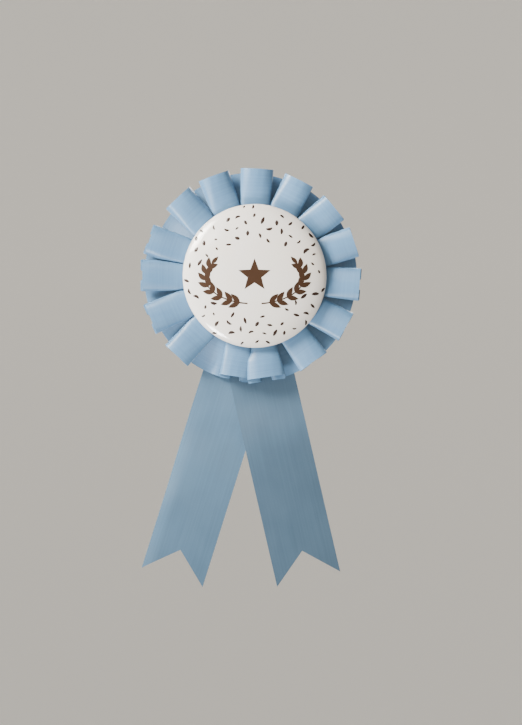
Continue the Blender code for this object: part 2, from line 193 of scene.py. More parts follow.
def settled(obj: bpy.types.Object) -> bpy.types.Object:
    """Applies an object's modifiers, so that a plain mesh is left.

    Args:
        obj: the object, whose modifiers are removed.

    Returns:
        The same object.
    """
    graph = bpy.context.evaluated_depsgraph_get()
    evaluated = obj.evaluated_get(graph)
    mesh = bpy.data.meshes.new_from_object(
        evaluated, preserve_all_data_layers=True, depsgraph=graph
    )
    obj.modifiers.clear()
    obj.data = mesh
    return obj


def walled(obj: bpy.types.Object, thickness: float, offset: float = 0.0) -> bpy.types.Object:
    """Gives a surface its thickness and settles it.

    Args:
        obj: the object with an open surface.
        thickness: the wall in metres.
        offset: -1 puts the wall behind the surface, 0 on both sides, 1 in front.

    Returns:
        The same object.
    """
    wall = obj.modifiers.new("wall", "SOLIDIFY")
    wall.thickness = thickness
    wall.offset = offset
    wall.use_even_offset = False
    return settled(obj)


def grown(name: str, host: bpy.types.Object, tree: Tree, **values: object) -> bpy.types.Object:
    """Runs a Geometry Nodes tree on a host and keeps the result as a plain mesh.

    Args:
        name: the new piece's name.
        host: the object that the tree starts from.
        tree: the tree, with named inputs.
        values: the inputs' values by name, with _ for a space.

    Returns:
        The new object. The host keeps its own mesh.
    """
    modifier = host.modifiers.new(tree.name, "NODES")
    modifier.node_group = tree
    for item in tree.interface.items_tree:
        key = item.name.replace(" ", "_").lower()
        if item.item_type == "SOCKET" and item.in_out == "INPUT" and key in values:
            modifier[item.identifier] = values[key]
    graph = bpy.context.evaluated_depsgraph_get()
    mesh = bpy.data.meshes.new_from_object(host.evaluated_get(graph), depsgraph=graph)
    host.modifiers.remove(modifier)
    return placed(name, mesh)


def new_tree(name: str, inputs: dict[str, tuple[str, object]]) -> Tree:
    """Starts a Geometry Nodes tree.

    Args:
        name: the tree's name.
        inputs: the socket type and the default value of each named input.

    Returns:
        The tree, with its group input and output nodes still to be added.
    """
    tree = bpy.data.node_groups.new(name, "GeometryNodeTree")
    tree.interface.new_socket("Geometry", in_out="INPUT", socket_type="NodeSocketGeometry")
    tree.interface.new_socket("Geometry", in_out="OUTPUT", socket_type="NodeSocketGeometry")
    for label, (kind, value) in inputs.items():
        socket = tree.interface.new_socket(label, in_out="INPUT", socket_type=kind)
        if value is not None:
            socket.default_value = value
    return tree


def lathe(
    name: str, profile: list[tuple[float, float]], place: Matrix, steps: int = 96
) -> bpy.types.Object:
    """Turns a closed profile round Z and puts it in place.

    Args:
        name: the piece's name.
        profile: (radius, height) points. A radius of 0 at both ends closes the piece on
            its axis, and any other profile is closed into a ring.
        place: where the axis goes.
        steps: faces round the piece.

    Returns:
        The new object.
    """
    closed = profile[0][0] > 0
    turns = [math.tau * i / steps for i in range(steps)]
    verts = [(r * math.cos(a), r * math.sin(a), h) for a in turns for r, h in profile]
    count = len(profile)
    spans = count if closed else count - 1
    faces = []
    for i in range(steps):
        here, there = i * count, (i + 1) % steps * count
        for j in range(spans):
            k = (j + 1) % count
            faces.append((here + j, there + j, there + k, here + k))
    mesh = bpy.data.meshes.new(name)
    mesh.from_pydata(verts, [], faces)
    mesh.transform(place)
    outward(mesh)
    shade(mesh)
    return placed(name, mesh)


def rounded_disc(radius: float, rear: float, front: float, edge: float) -> list[tuple[float, float]]:
    """A disc's profile with rounded edges.

    Args:
        radius: the disc's radius.
        rear: the height of its rear face.
        front: the height of its front face.
        edge: the radius of its rounded edges.

    Returns:
        (radius, height) points from the front's middle to the rear's.
    """
    points = [(0.0, front), (radius * 0.5, front)]
    for i in range(7):
        turn = math.pi * i / 6
        middle = front - edge if i < 3 else rear + edge
        if i == 3:
            middle = (front + rear) / 2
        points.append((radius - edge + edge * math.sin(turn), middle + edge * math.cos(turn)))
    return points + [(radius * 0.5, rear), (0.0, rear)]


def wire(
    name: str, points: list[Vector], radius: float, tip: float = 1.0, corner: float = 0.0
) -> bpy.types.Object:
    """A round wire through these points, with rounded corners and ends.

    Args:
        name: the piece's name.
        points: the wire's centreline.
        radius: the wire's radius.
        tip: the last point's share of the radius.
        corner: the radius that the centreline's corners are rounded to.

    Returns:
        The new object.
    """
    line = rounded_line(points, corner) if corner else points
    curve = bpy.data.curves.new(name, "CURVE")
    curve.dimensions = "3D"
    curve.bevel_depth = radius
    curve.bevel_resolution = 6
    curve.use_fill_caps = True
    spline = curve.splines.new("POLY")
    spline.points.add(len(line) - 1)
    for spot, point in zip(spline.points, line):
        spot.co = (*point, 1)
    spline.points[-1].radius = tip
    drawn = bpy.data.objects.new(name, curve)
    bpy.context.scene.collection.objects.link(drawn)
    mesh = bpy.data.meshes.new_from_object(
        drawn.evaluated_get(bpy.context.evaluated_depsgraph_get())
    )
    bpy.data.objects.remove(drawn)
    outward(mesh)
    shade(mesh, 50)
    return placed(name, mesh)


def rounded_line(points: list[Vector], radius: float) -> list[Vector]:
    """Rounds the corners of a line.

    Args:
        points: the line's corners.
        radius: how far from each corner its bend starts.

    Returns:
        The line with a short curve at each inner corner.
    """
    line = [points[0]]
    for before, here, after in zip(points, points[1:], points[2:]):
        start = here + (before - here).normalized() * radius
        end = here + (after - here).normalized() * radius
        for i in range(6):
            t = i / 5
            line.append(start * (1 - t) ** 2 + here * 2 * t * (1 - t) + end * t**2)
    return line + [points[-1]]


def bevelled_copy(node: str, name: str, width: float) -> bpy.types.Object:
    """Copies a CAD node, merges its loose triangles and rounds its sharp edges.

    Args:
        node: the CAD node's name.
        name: the new piece's name.
        width: the bevel in metres.

    Returns:
        The new object.
    """
    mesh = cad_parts[node].data.copy()
    mesh.materials.clear()
    bm = bmesh.new()
    bm.from_mesh(mesh)
    bmesh.ops.remove_doubles(bm, verts=bm.verts, dist=5e-6)
    bmesh.ops.dissolve_limit(bm, angle_limit=math.radians(1), verts=bm.verts, edges=bm.edges)
    bm.to_mesh(mesh)
    bm.free()
    made = placed(name, mesh)
    bevel = made.modifiers.new("edges", "BEVEL")
    bevel.width = width
    bevel.segments = 2
    bevel.limit_method = "ANGLE"
    bevel.angle_limit = math.radians(32)
    bevel.use_clamp_overlap = True
    settled(made)
    shade(made.data, 40)
    return made


# Finishes --------------------------------------------------------------------------------


@dataclass(frozen=True)
class Finish:
    """A real material's name, colour and roughness, and how its surface varies. The tails' copies of
    the satin carry painted shade in their colour.
    """

    name: str
    colour: str
    roughness: float = 0.5

    def made(self) -> bpy.types.Material:
        """Makes the material, or finds the one already made.

        Returns:
            The material.
        """
        found = bpy.data.materials.get(self.name)
        if found:
            return found
        material = bpy.data.materials.new(self.name)
        material.use_nodes = True
        tree = material.node_tree
        shader = tree.nodes["Principled BSDF"]
        shader.inputs["Base Color"].default_value = srgb(self.colour)
        shader.inputs["Roughness"].default_value = self.roughness
        self.detail(tree, shader)
        return material

    def detail(self, tree: Tree, shader: bpy.types.Node) -> None:
        """Adds what this finish shows beyond its colour.

        Args:
            tree: the material's nodes.
            shader: its Principled BSDF.
        """

    def spot(self, tree: Tree, scale: tuple[float, float, float]) -> Socket:
        """Object coordinates, in features of a pattern.

        Args:
            tree: the material's nodes.
            scale: features per millimetre on each axis.

        Returns:
            The coordinates.
        """
        place = add_node(tree, "ShaderNodeTexCoord")["Object"]
        factors = tuple(each / MM for each in scale)
        return add_node(tree, "ShaderNodeVectorMath", [place, factors], operation="MULTIPLY")[0]

    def noise(self, tree: Tree, scale: tuple[float, float, float], octaves: float) -> Socket:
        """A random pattern fixed to the object.

        Args:
            tree: the material's nodes.
            scale: features per millimetre on each axis.
            octaves: how many finer patterns are in it.

        Returns:
            The pattern, about 0.5.
        """
        inputs = {"Vector": self.spot(tree, scale), "Scale": 1.0, "Detail": octaves}
        return add_node(tree, "ShaderNodeTexNoise", inputs)[0]

    def toned(
        self,
        tree: Tree,
        shader: bpy.types.Node,
        pattern: Socket,
        source: tuple[float, float],
        amount: float,
        other: str,
    ) -> None:
        """Gives the shader the finish's colour, turned to another one by a pattern.

        Args:
            tree: the material's nodes.
            shader: the shader that takes the colour.
            pattern: where the other colour shows.
            source: the pattern's values where that starts and ends.
            amount: the other colour's greatest share.
            other: the other colour.
        """
        share = add_node(tree, "ShaderNodeMapRange", [pattern, *source, 0.0, amount])[0]
        inputs = {MIX_SHARE: share, MIX_FIRST: srgb(self.colour), MIX_SECOND: srgb(other)}
        mixed = add_node(tree, "ShaderNodeMix", inputs, data_type="RGBA")[MIX_COLOUR]
        tree.links.new(mixed, shader.inputs["Base Color"])

    def roughened(
        self, tree: Tree, shader: bpy.types.Node, pattern: Socket, less: float, more: float
    ) -> None:
        """Gives the shader the finish's roughness, varied by a pattern.

        Args:
            tree: the material's nodes.
            shader: the shader that takes it.
            pattern: what it varies with.
            less: how much smoother it gets.
            more: how much rougher it gets.
        """
        ends = [self.roughness - less, self.roughness + more]
        rough = add_node(tree, "ShaderNodeMapRange", [pattern, 0.3, 0.7, *ends])[0]
        tree.links.new(rough, shader.inputs["Roughness"])

    def raised(
        self, tree: Tree, shader: bpy.types.Node, height: Socket, depth: float, strength: float
    ) -> None:
        """Gives the shader a bump.

        Args:
            tree: the material's nodes.
            shader: the shader that takes it.
            height: the height, from 0 to 1.
            depth: what a height of 1 stands for, in metres.
            strength: the bump's share.
        """
        inputs = {"Strength": strength, "Distance": depth, "Height": height}
        tree.links.new(add_node(tree, "ShaderNodeBump", inputs)[0], shader.inputs["Normal"])


@dataclass(frozen=True)
class SatinRibbon(Finish):
    """Polyester satin ribbon, woven with long warp floats and a firm selvage: a soft sheen
    that runs along the ribbon, faint lengthwise streaks and very fine cross ribs."""

    shade: str = "#7C95A8"
    streak: float = 0.75  # mm: real warp is 0.15 mm, drawn coarser so that it shows
    streak_length: float = 40.0  # mm
    rib: float = 0.9  # mm: real weft is 0.25 mm, drawn coarser so that it shows
    selvage: float = 0.7  # mm
    firmness: float = 0.3  # how clearly the selvage shows
    cloud: float = 0.09  # broad changes of tone per mm
    sheen: float = 0.25

    def detail(self, tree: Tree, shader: bpy.types.Node) -> None:
        """Adds the weave, the selvage and the sheen.

        Args:
            tree: the material's nodes.
            shader: its Principled BSDF.
        """
        node = partial(add_node, tree)
        run = node("ShaderNodeUVMap", uv_map=CLOTH_MAP)[0]
        scale = (1 / self.streak, 1 / self.streak_length, 0.0)
        long = node("ShaderNodeVectorMath", [run, scale], operation="MULTIPLY")[0]
        warp = node("ShaderNodeTexNoise", {"Vector": long, "Scale": 1.0, "Detail": 3.0})[0]
        fine = node("ShaderNodeVectorMath", {0: run, "Scale": 1 / self.rib}, operation="SCALE")[0]
        weft = node("ShaderNodeTexNoise", {"Vector": fine, "Scale": 1.0, "Detail": 1.0})[0]
        broad = self.noise(tree, (self.cloud,) * 3, 1.0)
        across = node("ShaderNodeSeparateXYZ", [run])[0]
        half = RIBBON_WIDTH / 2
        off = node("ShaderNodeMath", [across, half], operation="SUBTRACT")[0]
        away = node("ShaderNodeMath", [off], operation="ABSOLUTE")[0]
        edge = [half - self.selvage, half - self.selvage / 2]
        hem = node("ShaderNodeMapRange", [away, *edge, 0.0, self.firmness])[0]
        streaks = node("ShaderNodeMapRange", [warp, 0.35, 0.68, 0.0, 0.34])[0]
        clouds = node("ShaderNodeMapRange", [broad, 0.35, 0.65, 0.0, 0.22])[0]
        tone = node("ShaderNodeMath", [streaks, clouds], operation="ADD")[0]
        usual, deep = srgb(self.colour), srgb(self.shade)
        inputs = {MIX_SHARE: tone, MIX_FIRST: usual, MIX_SECOND: deep}
        body = node("ShaderNodeMix", inputs, data_type="RGBA")[MIX_COLOUR]
        inputs = {MIX_SHARE: hem, MIX_FIRST: body, MIX_SECOND: usual}
        cloth = node("ShaderNodeMix", inputs, data_type="RGBA")[MIX_COLOUR]
        tree.links.new(cloth, shader.inputs["Base Color"])
        self.roughened(tree, shader, warp, 0.06, 0.08)
        ribs = node("ShaderNodeMapRange", [weft, 0.3, 0.7, 0.0, 0.3])[0]
        weave = node("ShaderNodeMath", [warp, 0.7, ribs], operation="MULTIPLY_ADD")[0]
        ridge = node("ShaderNodeMath", [weave, hem], operation="ADD")[0]
        self.raised(tree, shader, ridge, 0.05 * MM, 0.8)
        shader.inputs["Sheen Weight"].default_value = self.sheen
        shader.inputs["Sheen Roughness"].default_value = 0.4
        shader.inputs["Sheen Tint"].default_value = srgb("#DCE8F0")
        shader.inputs["Anisotropic"].default_value = 0.55
        grain = node("ShaderNodeTangent", direction_type="UV_MAP", uv_map=CLOTH_MAP)[0]
        tree.links.new(grain, shader.inputs["Tangent"])


@dataclass(frozen=True)
class PrintedBadge(Finish):
    """Coated label paper pulled under a clear polyester film: flat colour with faint
    fibres, below a hard gloss that is slightly wavy."""

    fibre: float = 0.6  # mm
    ageing: float = 14.0  # mm
    wave: float = 9.0  # mm
    gloss: float = 1.0  # how strongly the film shines over it

    def detail(self, tree: Tree, shader: bpy.types.Node) -> None:
        """Adds the paper's fibres and age, and the film's gloss.

        Args:
            tree: the material's nodes.
            shader: its Principled BSDF.
        """
        node = partial(add_node, tree)
        fibres = self.noise(tree, (1 / self.fibre,) * 3, 4.0)
        broad = self.noise(tree, (1 / self.ageing,) * 3, 1.0)
        base = Vector(srgb(self.colour)[:3])
        share = node("ShaderNodeMapRange", [fibres, 0.35, 0.65, 0.0, 0.5])[0]
        inputs = {MIX_SHARE: share, MIX_FIRST: (*base, 1.0), MIX_SECOND: (*(base * 0.93), 1.0)}
        flecked = node("ShaderNodeMix", inputs, data_type="RGBA")[MIX_COLOUR]
        warm = (base.x * 0.985, base.y * 0.97, base.z * 0.94, 1.0)
        share = node("ShaderNodeMapRange", [broad, 0.4, 0.65, 0.0, 1.0])[0]
        inputs = {MIX_SHARE: share, MIX_FIRST: flecked, MIX_SECOND: warm}
        aged = node("ShaderNodeMix", inputs, data_type="RGBA")[MIX_COLOUR]
        tree.links.new(aged, shader.inputs["Base Color"])
        shader.inputs["Specular IOR Level"].default_value = 0.5 * self.gloss
        shader.inputs["Coat Weight"].default_value = self.gloss
        shader.inputs["Coat Roughness"].default_value = 0.05
        waves = self.noise(tree, (1 / self.wave,) * 3, 0.0)
        inputs = {"Strength": 0.5, "Distance": 0.2 * MM, "Height": waves}
        tree.links.new(node("ShaderNodeBump", inputs)[0], shader.inputs["Coat Normal"])
        self.raised(tree, shader, fibres, 0.01 * MM, 0.4)


@dataclass(frozen=True)
class Paperboard(Finish):
    """Pressed paper stock: matt, with fibre flecks and a slight tooth."""

    fleck: str = "#9A958A"
    fibre: float = 0.8  # mm
    amount: float = 0.4

    def detail(self, tree: Tree, shader: bpy.types.Node) -> None:
        """Adds the fibre flecks and the tooth.

        Args:
            tree: the material's nodes.
            shader: its Principled BSDF.
        """
        fibres = self.noise(tree, (1 / self.fibre, 1, 3 / self.fibre), 4.0)
        broad = self.noise(tree, (0.06, 0.06, 0.06), 2.0)
        both = add_node(tree, "ShaderNodeMath", [fibres, broad], operation="ADD")[0]
        self.toned(tree, shader, both, (0.8, 1.25), self.amount, self.fleck)
        self.roughened(tree, shader, fibres, 0.1, 0.1)
        self.raised(tree, shader, fibres, 0.03 * MM, 0.6)


@dataclass(frozen=True)
class Metal(Finish):
    """Bare or plated metal with fine lengthwise drawing or rolling marks, slight
    tarnish, and brighter rubbed spots."""

    tarnish: str = "#8A8378"
    grain: tuple[float, float, float] = (0.15, 6.0, 6.0)  # features per mm

    def detail(self, tree: Tree, shader: bpy.types.Node) -> None:
        """Adds the drawing marks and the tarnish.

        Args:
            tree: the material's nodes.
            shader: its Principled BSDF.
        """
        shader.inputs["Metallic"].default_value = 1.0
        marks = self.noise(tree, self.grain, 3.0)
        cloud = self.noise(tree, (0.6, 0.6, 0.6), 3.0)
        self.toned(tree, shader, cloud, (0.45, 0.72), 0.6, self.tarnish)
        self.roughened(tree, shader, marks, 0.08, 0.12)
        self.raised(tree, shader, marks, 0.01 * MM, 0.35)


@dataclass(frozen=True)
class HotMelt(Finish):
    """Hot-melt glue, squeezed out and cooled: milky, half clear, waxy and rippled."""

    def detail(self, tree: Tree, shader: bpy.types.Node) -> None:
        """Adds the ripples and the half-clear depth.

        Args:
            tree: the material's nodes.
            shader: its Principled BSDF.
        """
        ripple = self.noise(tree, (0.5, 0.5, 0.5), 2.0)
        self.toned(tree, shader, ripple, (0.35, 0.65), 1.0, "#CFC8AE")
        shader.inputs["Subsurface Weight"].default_value = 0.35
        shader.inputs["Subsurface Radius"].default_value = (0.002, 0.0018, 0.0012)
        shader.inputs["Subsurface Scale"].default_value = 0.5
        self.raised(tree, shader, ripple, 0.3 * MM, 0.7)


@dataclass(frozen=True)
class FoamTape(Finish):
    """Closed-cell foam tape: matt, off-white, with small open cells at its cut sides."""

    cell: float = 0.45  # mm

    def detail(self, tree: Tree, shader: bpy.types.Node) -> None:
        """Adds the cells.

        Args:
            tree: the material's nodes.
            shader: its Principled BSDF.
        """
        inputs = {"Vector": self.spot(tree, (1 / self.cell,) * 3), "Scale": 1.0}
        cells = add_node(tree, "ShaderNodeTexVoronoi", inputs)["Distance"]
        self.toned(tree, shader, cells, (0.1, 0.7), 0.6, "#B5B2A8")
        self.raised(tree, shader, cells, 0.12 * MM, 0.8)


@dataclass(frozen=True)
class SewingThread(Finish):
    """Spun polyester thread: matt, twisted, a little fuzzy."""

    twist: float = 0.3  # mm

    def detail(self, tree: Tree, shader: bpy.types.Node) -> None:
        """Adds the twist and the fuzz.

        Args:
            tree: the material's nodes.
            shader: its Principled BSDF.
        """
        twist = self.noise(tree, (1 / self.twist,) * 3, 1.0)
        self.toned(tree, shader, twist, (0.35, 0.65), 0.7, "#56708A")
        shader.inputs["Sheen Weight"].default_value = 0.3
        self.raised(tree, shader, twist, 0.05 * MM, 0.8)


SATIN = SatinRibbon("polyester_satin", "#557B9D", 0.42, shade="#3E6285")
# The tails are the same satin as the rosette, made darker here as painted shade: the left tail's is
# darker, and the right tail's darker still.
SATIN_LEFT_TAIL_PAINTED_SHADE = SatinRibbon("polyester_satin_left_tail", "#48657D", 0.44, shade="#38536A")
SATIN_RIGHT_TAIL_PAINTED_SHADE = SatinRibbon("polyester_satin_right_tail", "#3F586D", 0.46, shade="#2F465A")
BADGE = PrintedBadge("film_covered_paper", "#D2CEC9", 0.5)
INK = PrintedBadge("film_covered_brown_ink", "#2F1A07", 0.5, gloss=0.4)
INK_DARK = PrintedBadge("film_covered_dark_ink", "#24130A", 0.5, gloss=0.4)
GREY_BOARD = Paperboard("greyboard", "#8F8A80", 0.85, amount=0.7, fleck="#6B665C")
WHITE_CARD = Paperboard("coated_card", "#E9E6DF", 0.62, fibre=1.4, amount=0.3)
TINPLATE = Metal("tinplate", "#C9C7C2", 0.3, grain=(0.2, 3.0, 5.0))
NICKEL = Metal("nickel_plated_steel", "#CFCBC2", 0.2)
NEEDLE_WIRE = Metal("drawn_steel_needle", "#C4C4C4", 0.18, grain=(0.1, 8.0, 8.0))
STAPLE_WIRE = Metal("galvanised_staple_wire", "#B9BBBC", 0.34, grain=(1.0, 3.0, 3.0))
GLUE = HotMelt("hot_melt_glue", "#E4DEC9", 0.35)
FOAM = FoamTape("foam_tape", "#E6E3DB", 0.9)
THREAD = SewingThread("polyester_thread", "#7F9DB6", 0.75)


def finished(
    piece: bpy.types.Object,
    finish: Finish,
    body: Body | None = Body.ROSETTE,
    replaces: tuple[str, ...] = (),
) -> bpy.types.Object:
    """Dresses a piece and puts it on its body.

    Args:
        piece: the piece, in place.
        finish: its finish.
        body: the body that it rides on, or None to put it on no body.
        replaces: the CAD nodes that it stands for.

    Returns:
        The same piece.
    """
    piece.data.materials.clear()
    piece.data.materials.append(finish.made())
    if replaces:
        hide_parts(*replaces)
    if body:
        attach(piece, body.value)
    LOG.info("%s: %s, %d faces", piece.name, finish.name, len(piece.data.polygons))
    return piece


def dress_node(node: str, finish: Finish) -> None:
    """Gives a CAD node that stays its finish.

    Args:
        node: the node's name.
        finish: its finish.
    """
    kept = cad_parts[node]
    kept.data.materials.clear()
    kept.data.materials.append(finish.made())
    LOG.info("%s: kept, %s", node, finish.name)


# Rosette ---------------------------------------------------------------------------------


@dataclass
class Pleat:
    """One box pleat of the rosette.

    Attributes:
        angle: where it points, in degrees from +X towards +Z.
        puff: how far its front bows out at the outer edge, in mm.
        width: its width's share of the usual one, at the outer edge.
        lean: how much further forward its later side stands, in mm.
        lift: how far it stands on the pleat before it, in mm.
        reach: how far its end stands beyond the usual outer edge, in mm.
        peek: how far its under layer stands beyond its front, in mm.
        recess: how far the ribbon before it stands back from the outer edge, in mm.
    """

    angle: float
    puff: float = 1.7
    width: float = 1.0
    lean: float = 0.0
    lift: float = 0.0
    reach: float = 0.0
    peek: float = 0.2
    recess: float = 1.5


@dataclass
class PleatedRosette:
    """One long satin ribbon, box-pleated by hand into a ring, so no two pleats match."""

    pleats: list[Pleat] = field(
        default_factory=lambda: [
            Pleat(-156.7, puff=1.5, peek=0.7, lean=0.3, reach=0.6, recess=0.4),
            Pleat(-133.1, puff=1.9, width=0.97, lean=-0.2, reach=0.6, recess=1.0),
            Pleat(-98.9, puff=1.1, reach=-2.2, peek=1.2, recess=1.0),
            Pleat(-81.5, puff=1.2, width=1.2, lift=1.1, reach=-2.0, peek=1.6, lean=-0.2, recess=0.6),
            Pleat(-54.0, puff=1.1, width=1.03, lean=0.3, reach=-0.6, recess=0.7),
            Pleat(-28.5, puff=1.4, width=0.98, lean=-0.3, recess=0.9),
            Pleat(-4.7, puff=1.5, width=1.02, lean=-0.3, reach=0.3, peek=0.5, recess=1.1),
            Pleat(18.2, puff=1.6, width=0.97, lean=0.2, reach=0.2, recess=0.9),
            Pleat(39.5, puff=1.8, width=1.0, lean=0.4, reach=-0.2, recess=1.5),
            Pleat(63.3, puff=2.2, width=0.97, lean=-0.2, reach=-0.4, recess=1.9),
            Pleat(86.8, puff=2.4, width=1.03, reach=-0.4, recess=2.3),
            Pleat(110.7, puff=2.6, width=1.0, lean=0.3, reach=-0.5, recess=1.9),
            Pleat(133.3, puff=2.5, width=1.02, lean=-0.3, reach=-0.3, recess=2.1),
            Pleat(160.3, puff=1.6, width=0.97, peek=0.7, lean=0.3, recess=2.5),
            Pleat(179.8, puff=1.4, width=1.0, peek=0.8, lean=-0.2, reach=0.4, recess=0.5),
        ]
    )
    inner_radius: float = 16.6
    outer_radius: float = 42.0
    rim_radius: float = 28.0
    half_widths: tuple[float, float, float] = (3.3, 5.65, 6.15)  # inner edge, rim, outer edge
    under_shares: tuple[float, float] = (0.15, 0.35)  # inner and outer edge
    room: float = 0.478  # how much of the turn to the next pleat a pleat may fill
    overlap: float = 0.2  # what it may fill besides, where it lies over the next
    overlap_radii: tuple[float, float] = (29.0, 36.0)  # where that starts and is full
    lift_radii: tuple[float, float] = (28.5, 35.0)
    puff_radius: float = 24.0  # where the fronts start to bow out
    fold: float = 0.9
    base_height: float = 5.85
    sink: float = 1.5  # how far the ribbon between two pleats falls back at the outer edge
    front_gap: float = 0.2  # between a front and the layer under it
    front_rise: float = 0.15  # a front's bow where it has no puff
    edge_insets: tuple[float, float] = (0.2, 0.05)  # the under layer's last points
    edge_rise: float = 0.08
    front_steps: int = 18
    ripple: float = 0.07
    ripple_turns: tuple[float, float, float] = (2.1, 1.7, 0.25)  # per mm, pleat and mm out
    thickness: float = 0.24
    gap_dip: float = 0.5
    gap_width: float = 9.0  # the gap that dips that much
    gap_steps: int = 11
    roundness: float = 2.2  # 2 makes a pleat's front an ellipse, more makes it flatter
    crease: tuple[int, float] = (2, 0.75)  # a stray crease: the pleat after it, and its place
    crease_size: tuple[float, float] = (1.3, 0.09)  # mm high, and a share of the gap wide
    rows: int = 30
    run_share: float = 0.8  # how far across the ribbon its length is measured for the map
    stitch_ring: float = 18.2
    stitch_height: float = 8.4
    stitches: int = 60
    stitch_length: float = 1.6
    thread_radius: float = 0.2
    stitch_taper: float = 2.4  # its ends narrow by a quarter of this
    centre: tuple[float, float] = (-1.3, 0.2)  # the ribbon's own middle, X and Z, in mm

    def half_width(self, pleat: int, side: int, radius: float) -> float:
        """How far a pleat reaches to one side at one radius.

        Args:
            pleat: the pleat's number.
            side: -1 towards the pleat before it, 1 towards the next.
            radius: in mm.

        Returns:
            The distance from the pleat's middle line, in mm.
        """
        here = self.pleats[pleat]
        other = self.pleats[(pleat + side) % len(self.pleats)]
        turn = math.radians(abs((other.angle - here.angle + 180) % 360 - 180))
        radii = (self.inner_radius, self.rim_radius, self.outer_radius)
        usual = float(np.interp(radius, radii, self.half_widths))
        grown_by = 1 + (here.width - 1) * smoothstep(self.rim_radius, self.outer_radius, radius)
        room = self.room
        if here.lift != other.lift:
            room += self.overlap * smoothstep(*self.overlap_radii, radius)
        return min(usual * grown_by, room * turn * radius)

    def section(self, pleat: int, radius: float) -> list[tuple[float, float, float]]:
        """One pleat's ribbon at one radius, from its first under fold to its last.

        Args:
            pleat: the pleat's number.
            radius: in mm.

        Returns:
            (offset, height, set back) points in mm.
        """
        here = self.pleats[pleat]
        out = smoothstep(self.puff_radius, self.outer_radius, radius)
        share = (radius - self.inner_radius) / (self.outer_radius - self.inner_radius)
        under_share = self.under_shares[0] + (self.under_shares[1] - self.under_shares[0]) * share
        base = self.base_height - self.sink * out
        lift = here.lift * smoothstep(*self.lift_radii, radius)
        middle = self.base_height + self.fold + lift
        top = self.fold + here.puff * out + self.front_rise
        halves = {side: self.half_width(pleat, side, radius) for side in (-1, 1)}
        later = self.pleats[(pleat + 1) % len(self.pleats)]
        sides = {}
        for side, recess in ((-1, here.recess), (1, later.recess)):
            half = halves[side]
            under = under_share * half
            end = -(here.reach + here.peek) * out
            rise = (middle - base) / 2
            points = []
            for i in range(5):
                turn = math.pi * i / 4
                offset = side * (under - self.fold / 2 * math.sin(turn))
                back = recess * (1 - i / 4) + end * i / 4
                points.append((offset, base + rise - rise * math.cos(turn), back))
            for i in range(1, 4):
                offset = side * (under + (half - self.edge_insets[0] - under) * i / 3)
                points.append((offset, middle, end))
            offset = side * (half - self.edge_insets[1])
            points.append((offset, middle + self.edge_rise, (end - here.reach * out) / 2))
            sides[side] = points
        front = []
        across, later_pleats, outwards = self.ripple_turns
        for i in range(self.front_steps + 1):
            place = math.sin(math.pi * (i / self.front_steps - 0.5))
            half = halves[-1] if place < 0 else halves[1]
            height = math.sqrt(max(0.0, 1 - abs(place) ** self.roundness))
            turn = across * place * half + later_pleats * pleat + outwards * radius
            ripple = self.ripple * out * math.sin(turn)
            tilt = here.lean * place * out * height
            level = middle + self.front_gap + top * height + tilt + ripple * height
            front.append((place * half, level, -here.reach * out))
        return sides[-1] + front + sides[1][::-1]

    def ring(self, radius: float) -> list[Vector]:
        """The whole ribbon at one radius.

        Args:
            radius: in mm.

        Returns:
            Points in metres, once round.
        """
        lines = []
        for number, pleat in enumerate(self.pleats):
            angle = math.radians(pleat.angle)
            along = Vector((math.cos(angle), 0, math.sin(angle)))
            across = Vector((-along.z, 0, along.x))
            lines.append(
                [
                    along * (radius - back) + across * offset + Vector((0, -height, 0))
                    for offset, height, back in self.section(number, radius)
                ]
            )
        points = []
        out = smoothstep(self.rim_radius, self.outer_radius, radius)
        for number, line in enumerate(lines):
            start, end = lines[number - 1][-1], line[0]
            reach = max(start.length, end.length)
            wide = (end - start).length / self.gap_width
            for i in range(1, self.gap_steps + 1):
                share = i / (self.gap_steps + 1)
                spot = start.lerp(end, share)
                dip = self.gap_dip * wide * out * math.sin(math.pi * share) ** 2
                if number == self.crease[0]:
                    high, broad = self.crease_size
                    dip -= high * out * math.exp(-(((share - self.crease[1]) / broad) ** 2))
                flat = Vector((spot.x, 0, spot.z)).normalized() * reach
                points.append(Vector((flat.x, spot.y + dip, flat.z)))
            points.extend(line)
        shift = Vector((self.centre[0], 0, self.centre[1]))
        return [(point + shift) * MM for point in points]

    def build_ribbon(self) -> bpy.types.Object:
        """Makes the pleated ribbon from rings at many radii.

        Returns:
            The ribbon's object, with its cloth map.
        """
        shares = np.linspace(0, 1, self.rows)
        width = self.outer_radius - self.inner_radius
        rings = [self.ring(self.inner_radius + width * share) for share in shares]
        count = len(rings[0])
        verts = [point for ring in rings for point in ring]
        long = rings[int(self.rows * self.run_share)]
        steps = [(long[(i + 1) % count] - long[i]).length / MM for i in range(count)]
        run = np.concatenate([[0.0], np.cumsum(steps)])
        faces, uvs = [], []
        for row in range(self.rows - 1):
            low, high = shares[row] * width, shares[row + 1] * width
            for i in range(count):
                k = (i + 1) % count
                a, b = row * count, (row + 1) * count
                faces.append((a + i, b + i, b + k, a + k))
                uvs += [(low, run[i]), (high, run[i]), (high, run[i + 1]), (low, run[i + 1])]
        mesh = bpy.data.meshes.new("pleats")
        mesh.from_pydata(verts, [], faces)
        layer = mesh.uv_layers.new(name=CLOTH_MAP)
        layer.data.foreach_set("uv", np.array(uvs, np.float32).ravel())
        made = placed("pleats", mesh)
        walled(made, self.thickness * MM)
        shade(made.data, 60)
        return made

    def outer_run(self) -> float:
        """The ribbon's run at its outer edge, which is its cut length, in mm."""
        ring = self.ring(self.outer_radius)
        return sum((ring[i] - ring[i - 1]).length for i in range(len(ring))) / MM

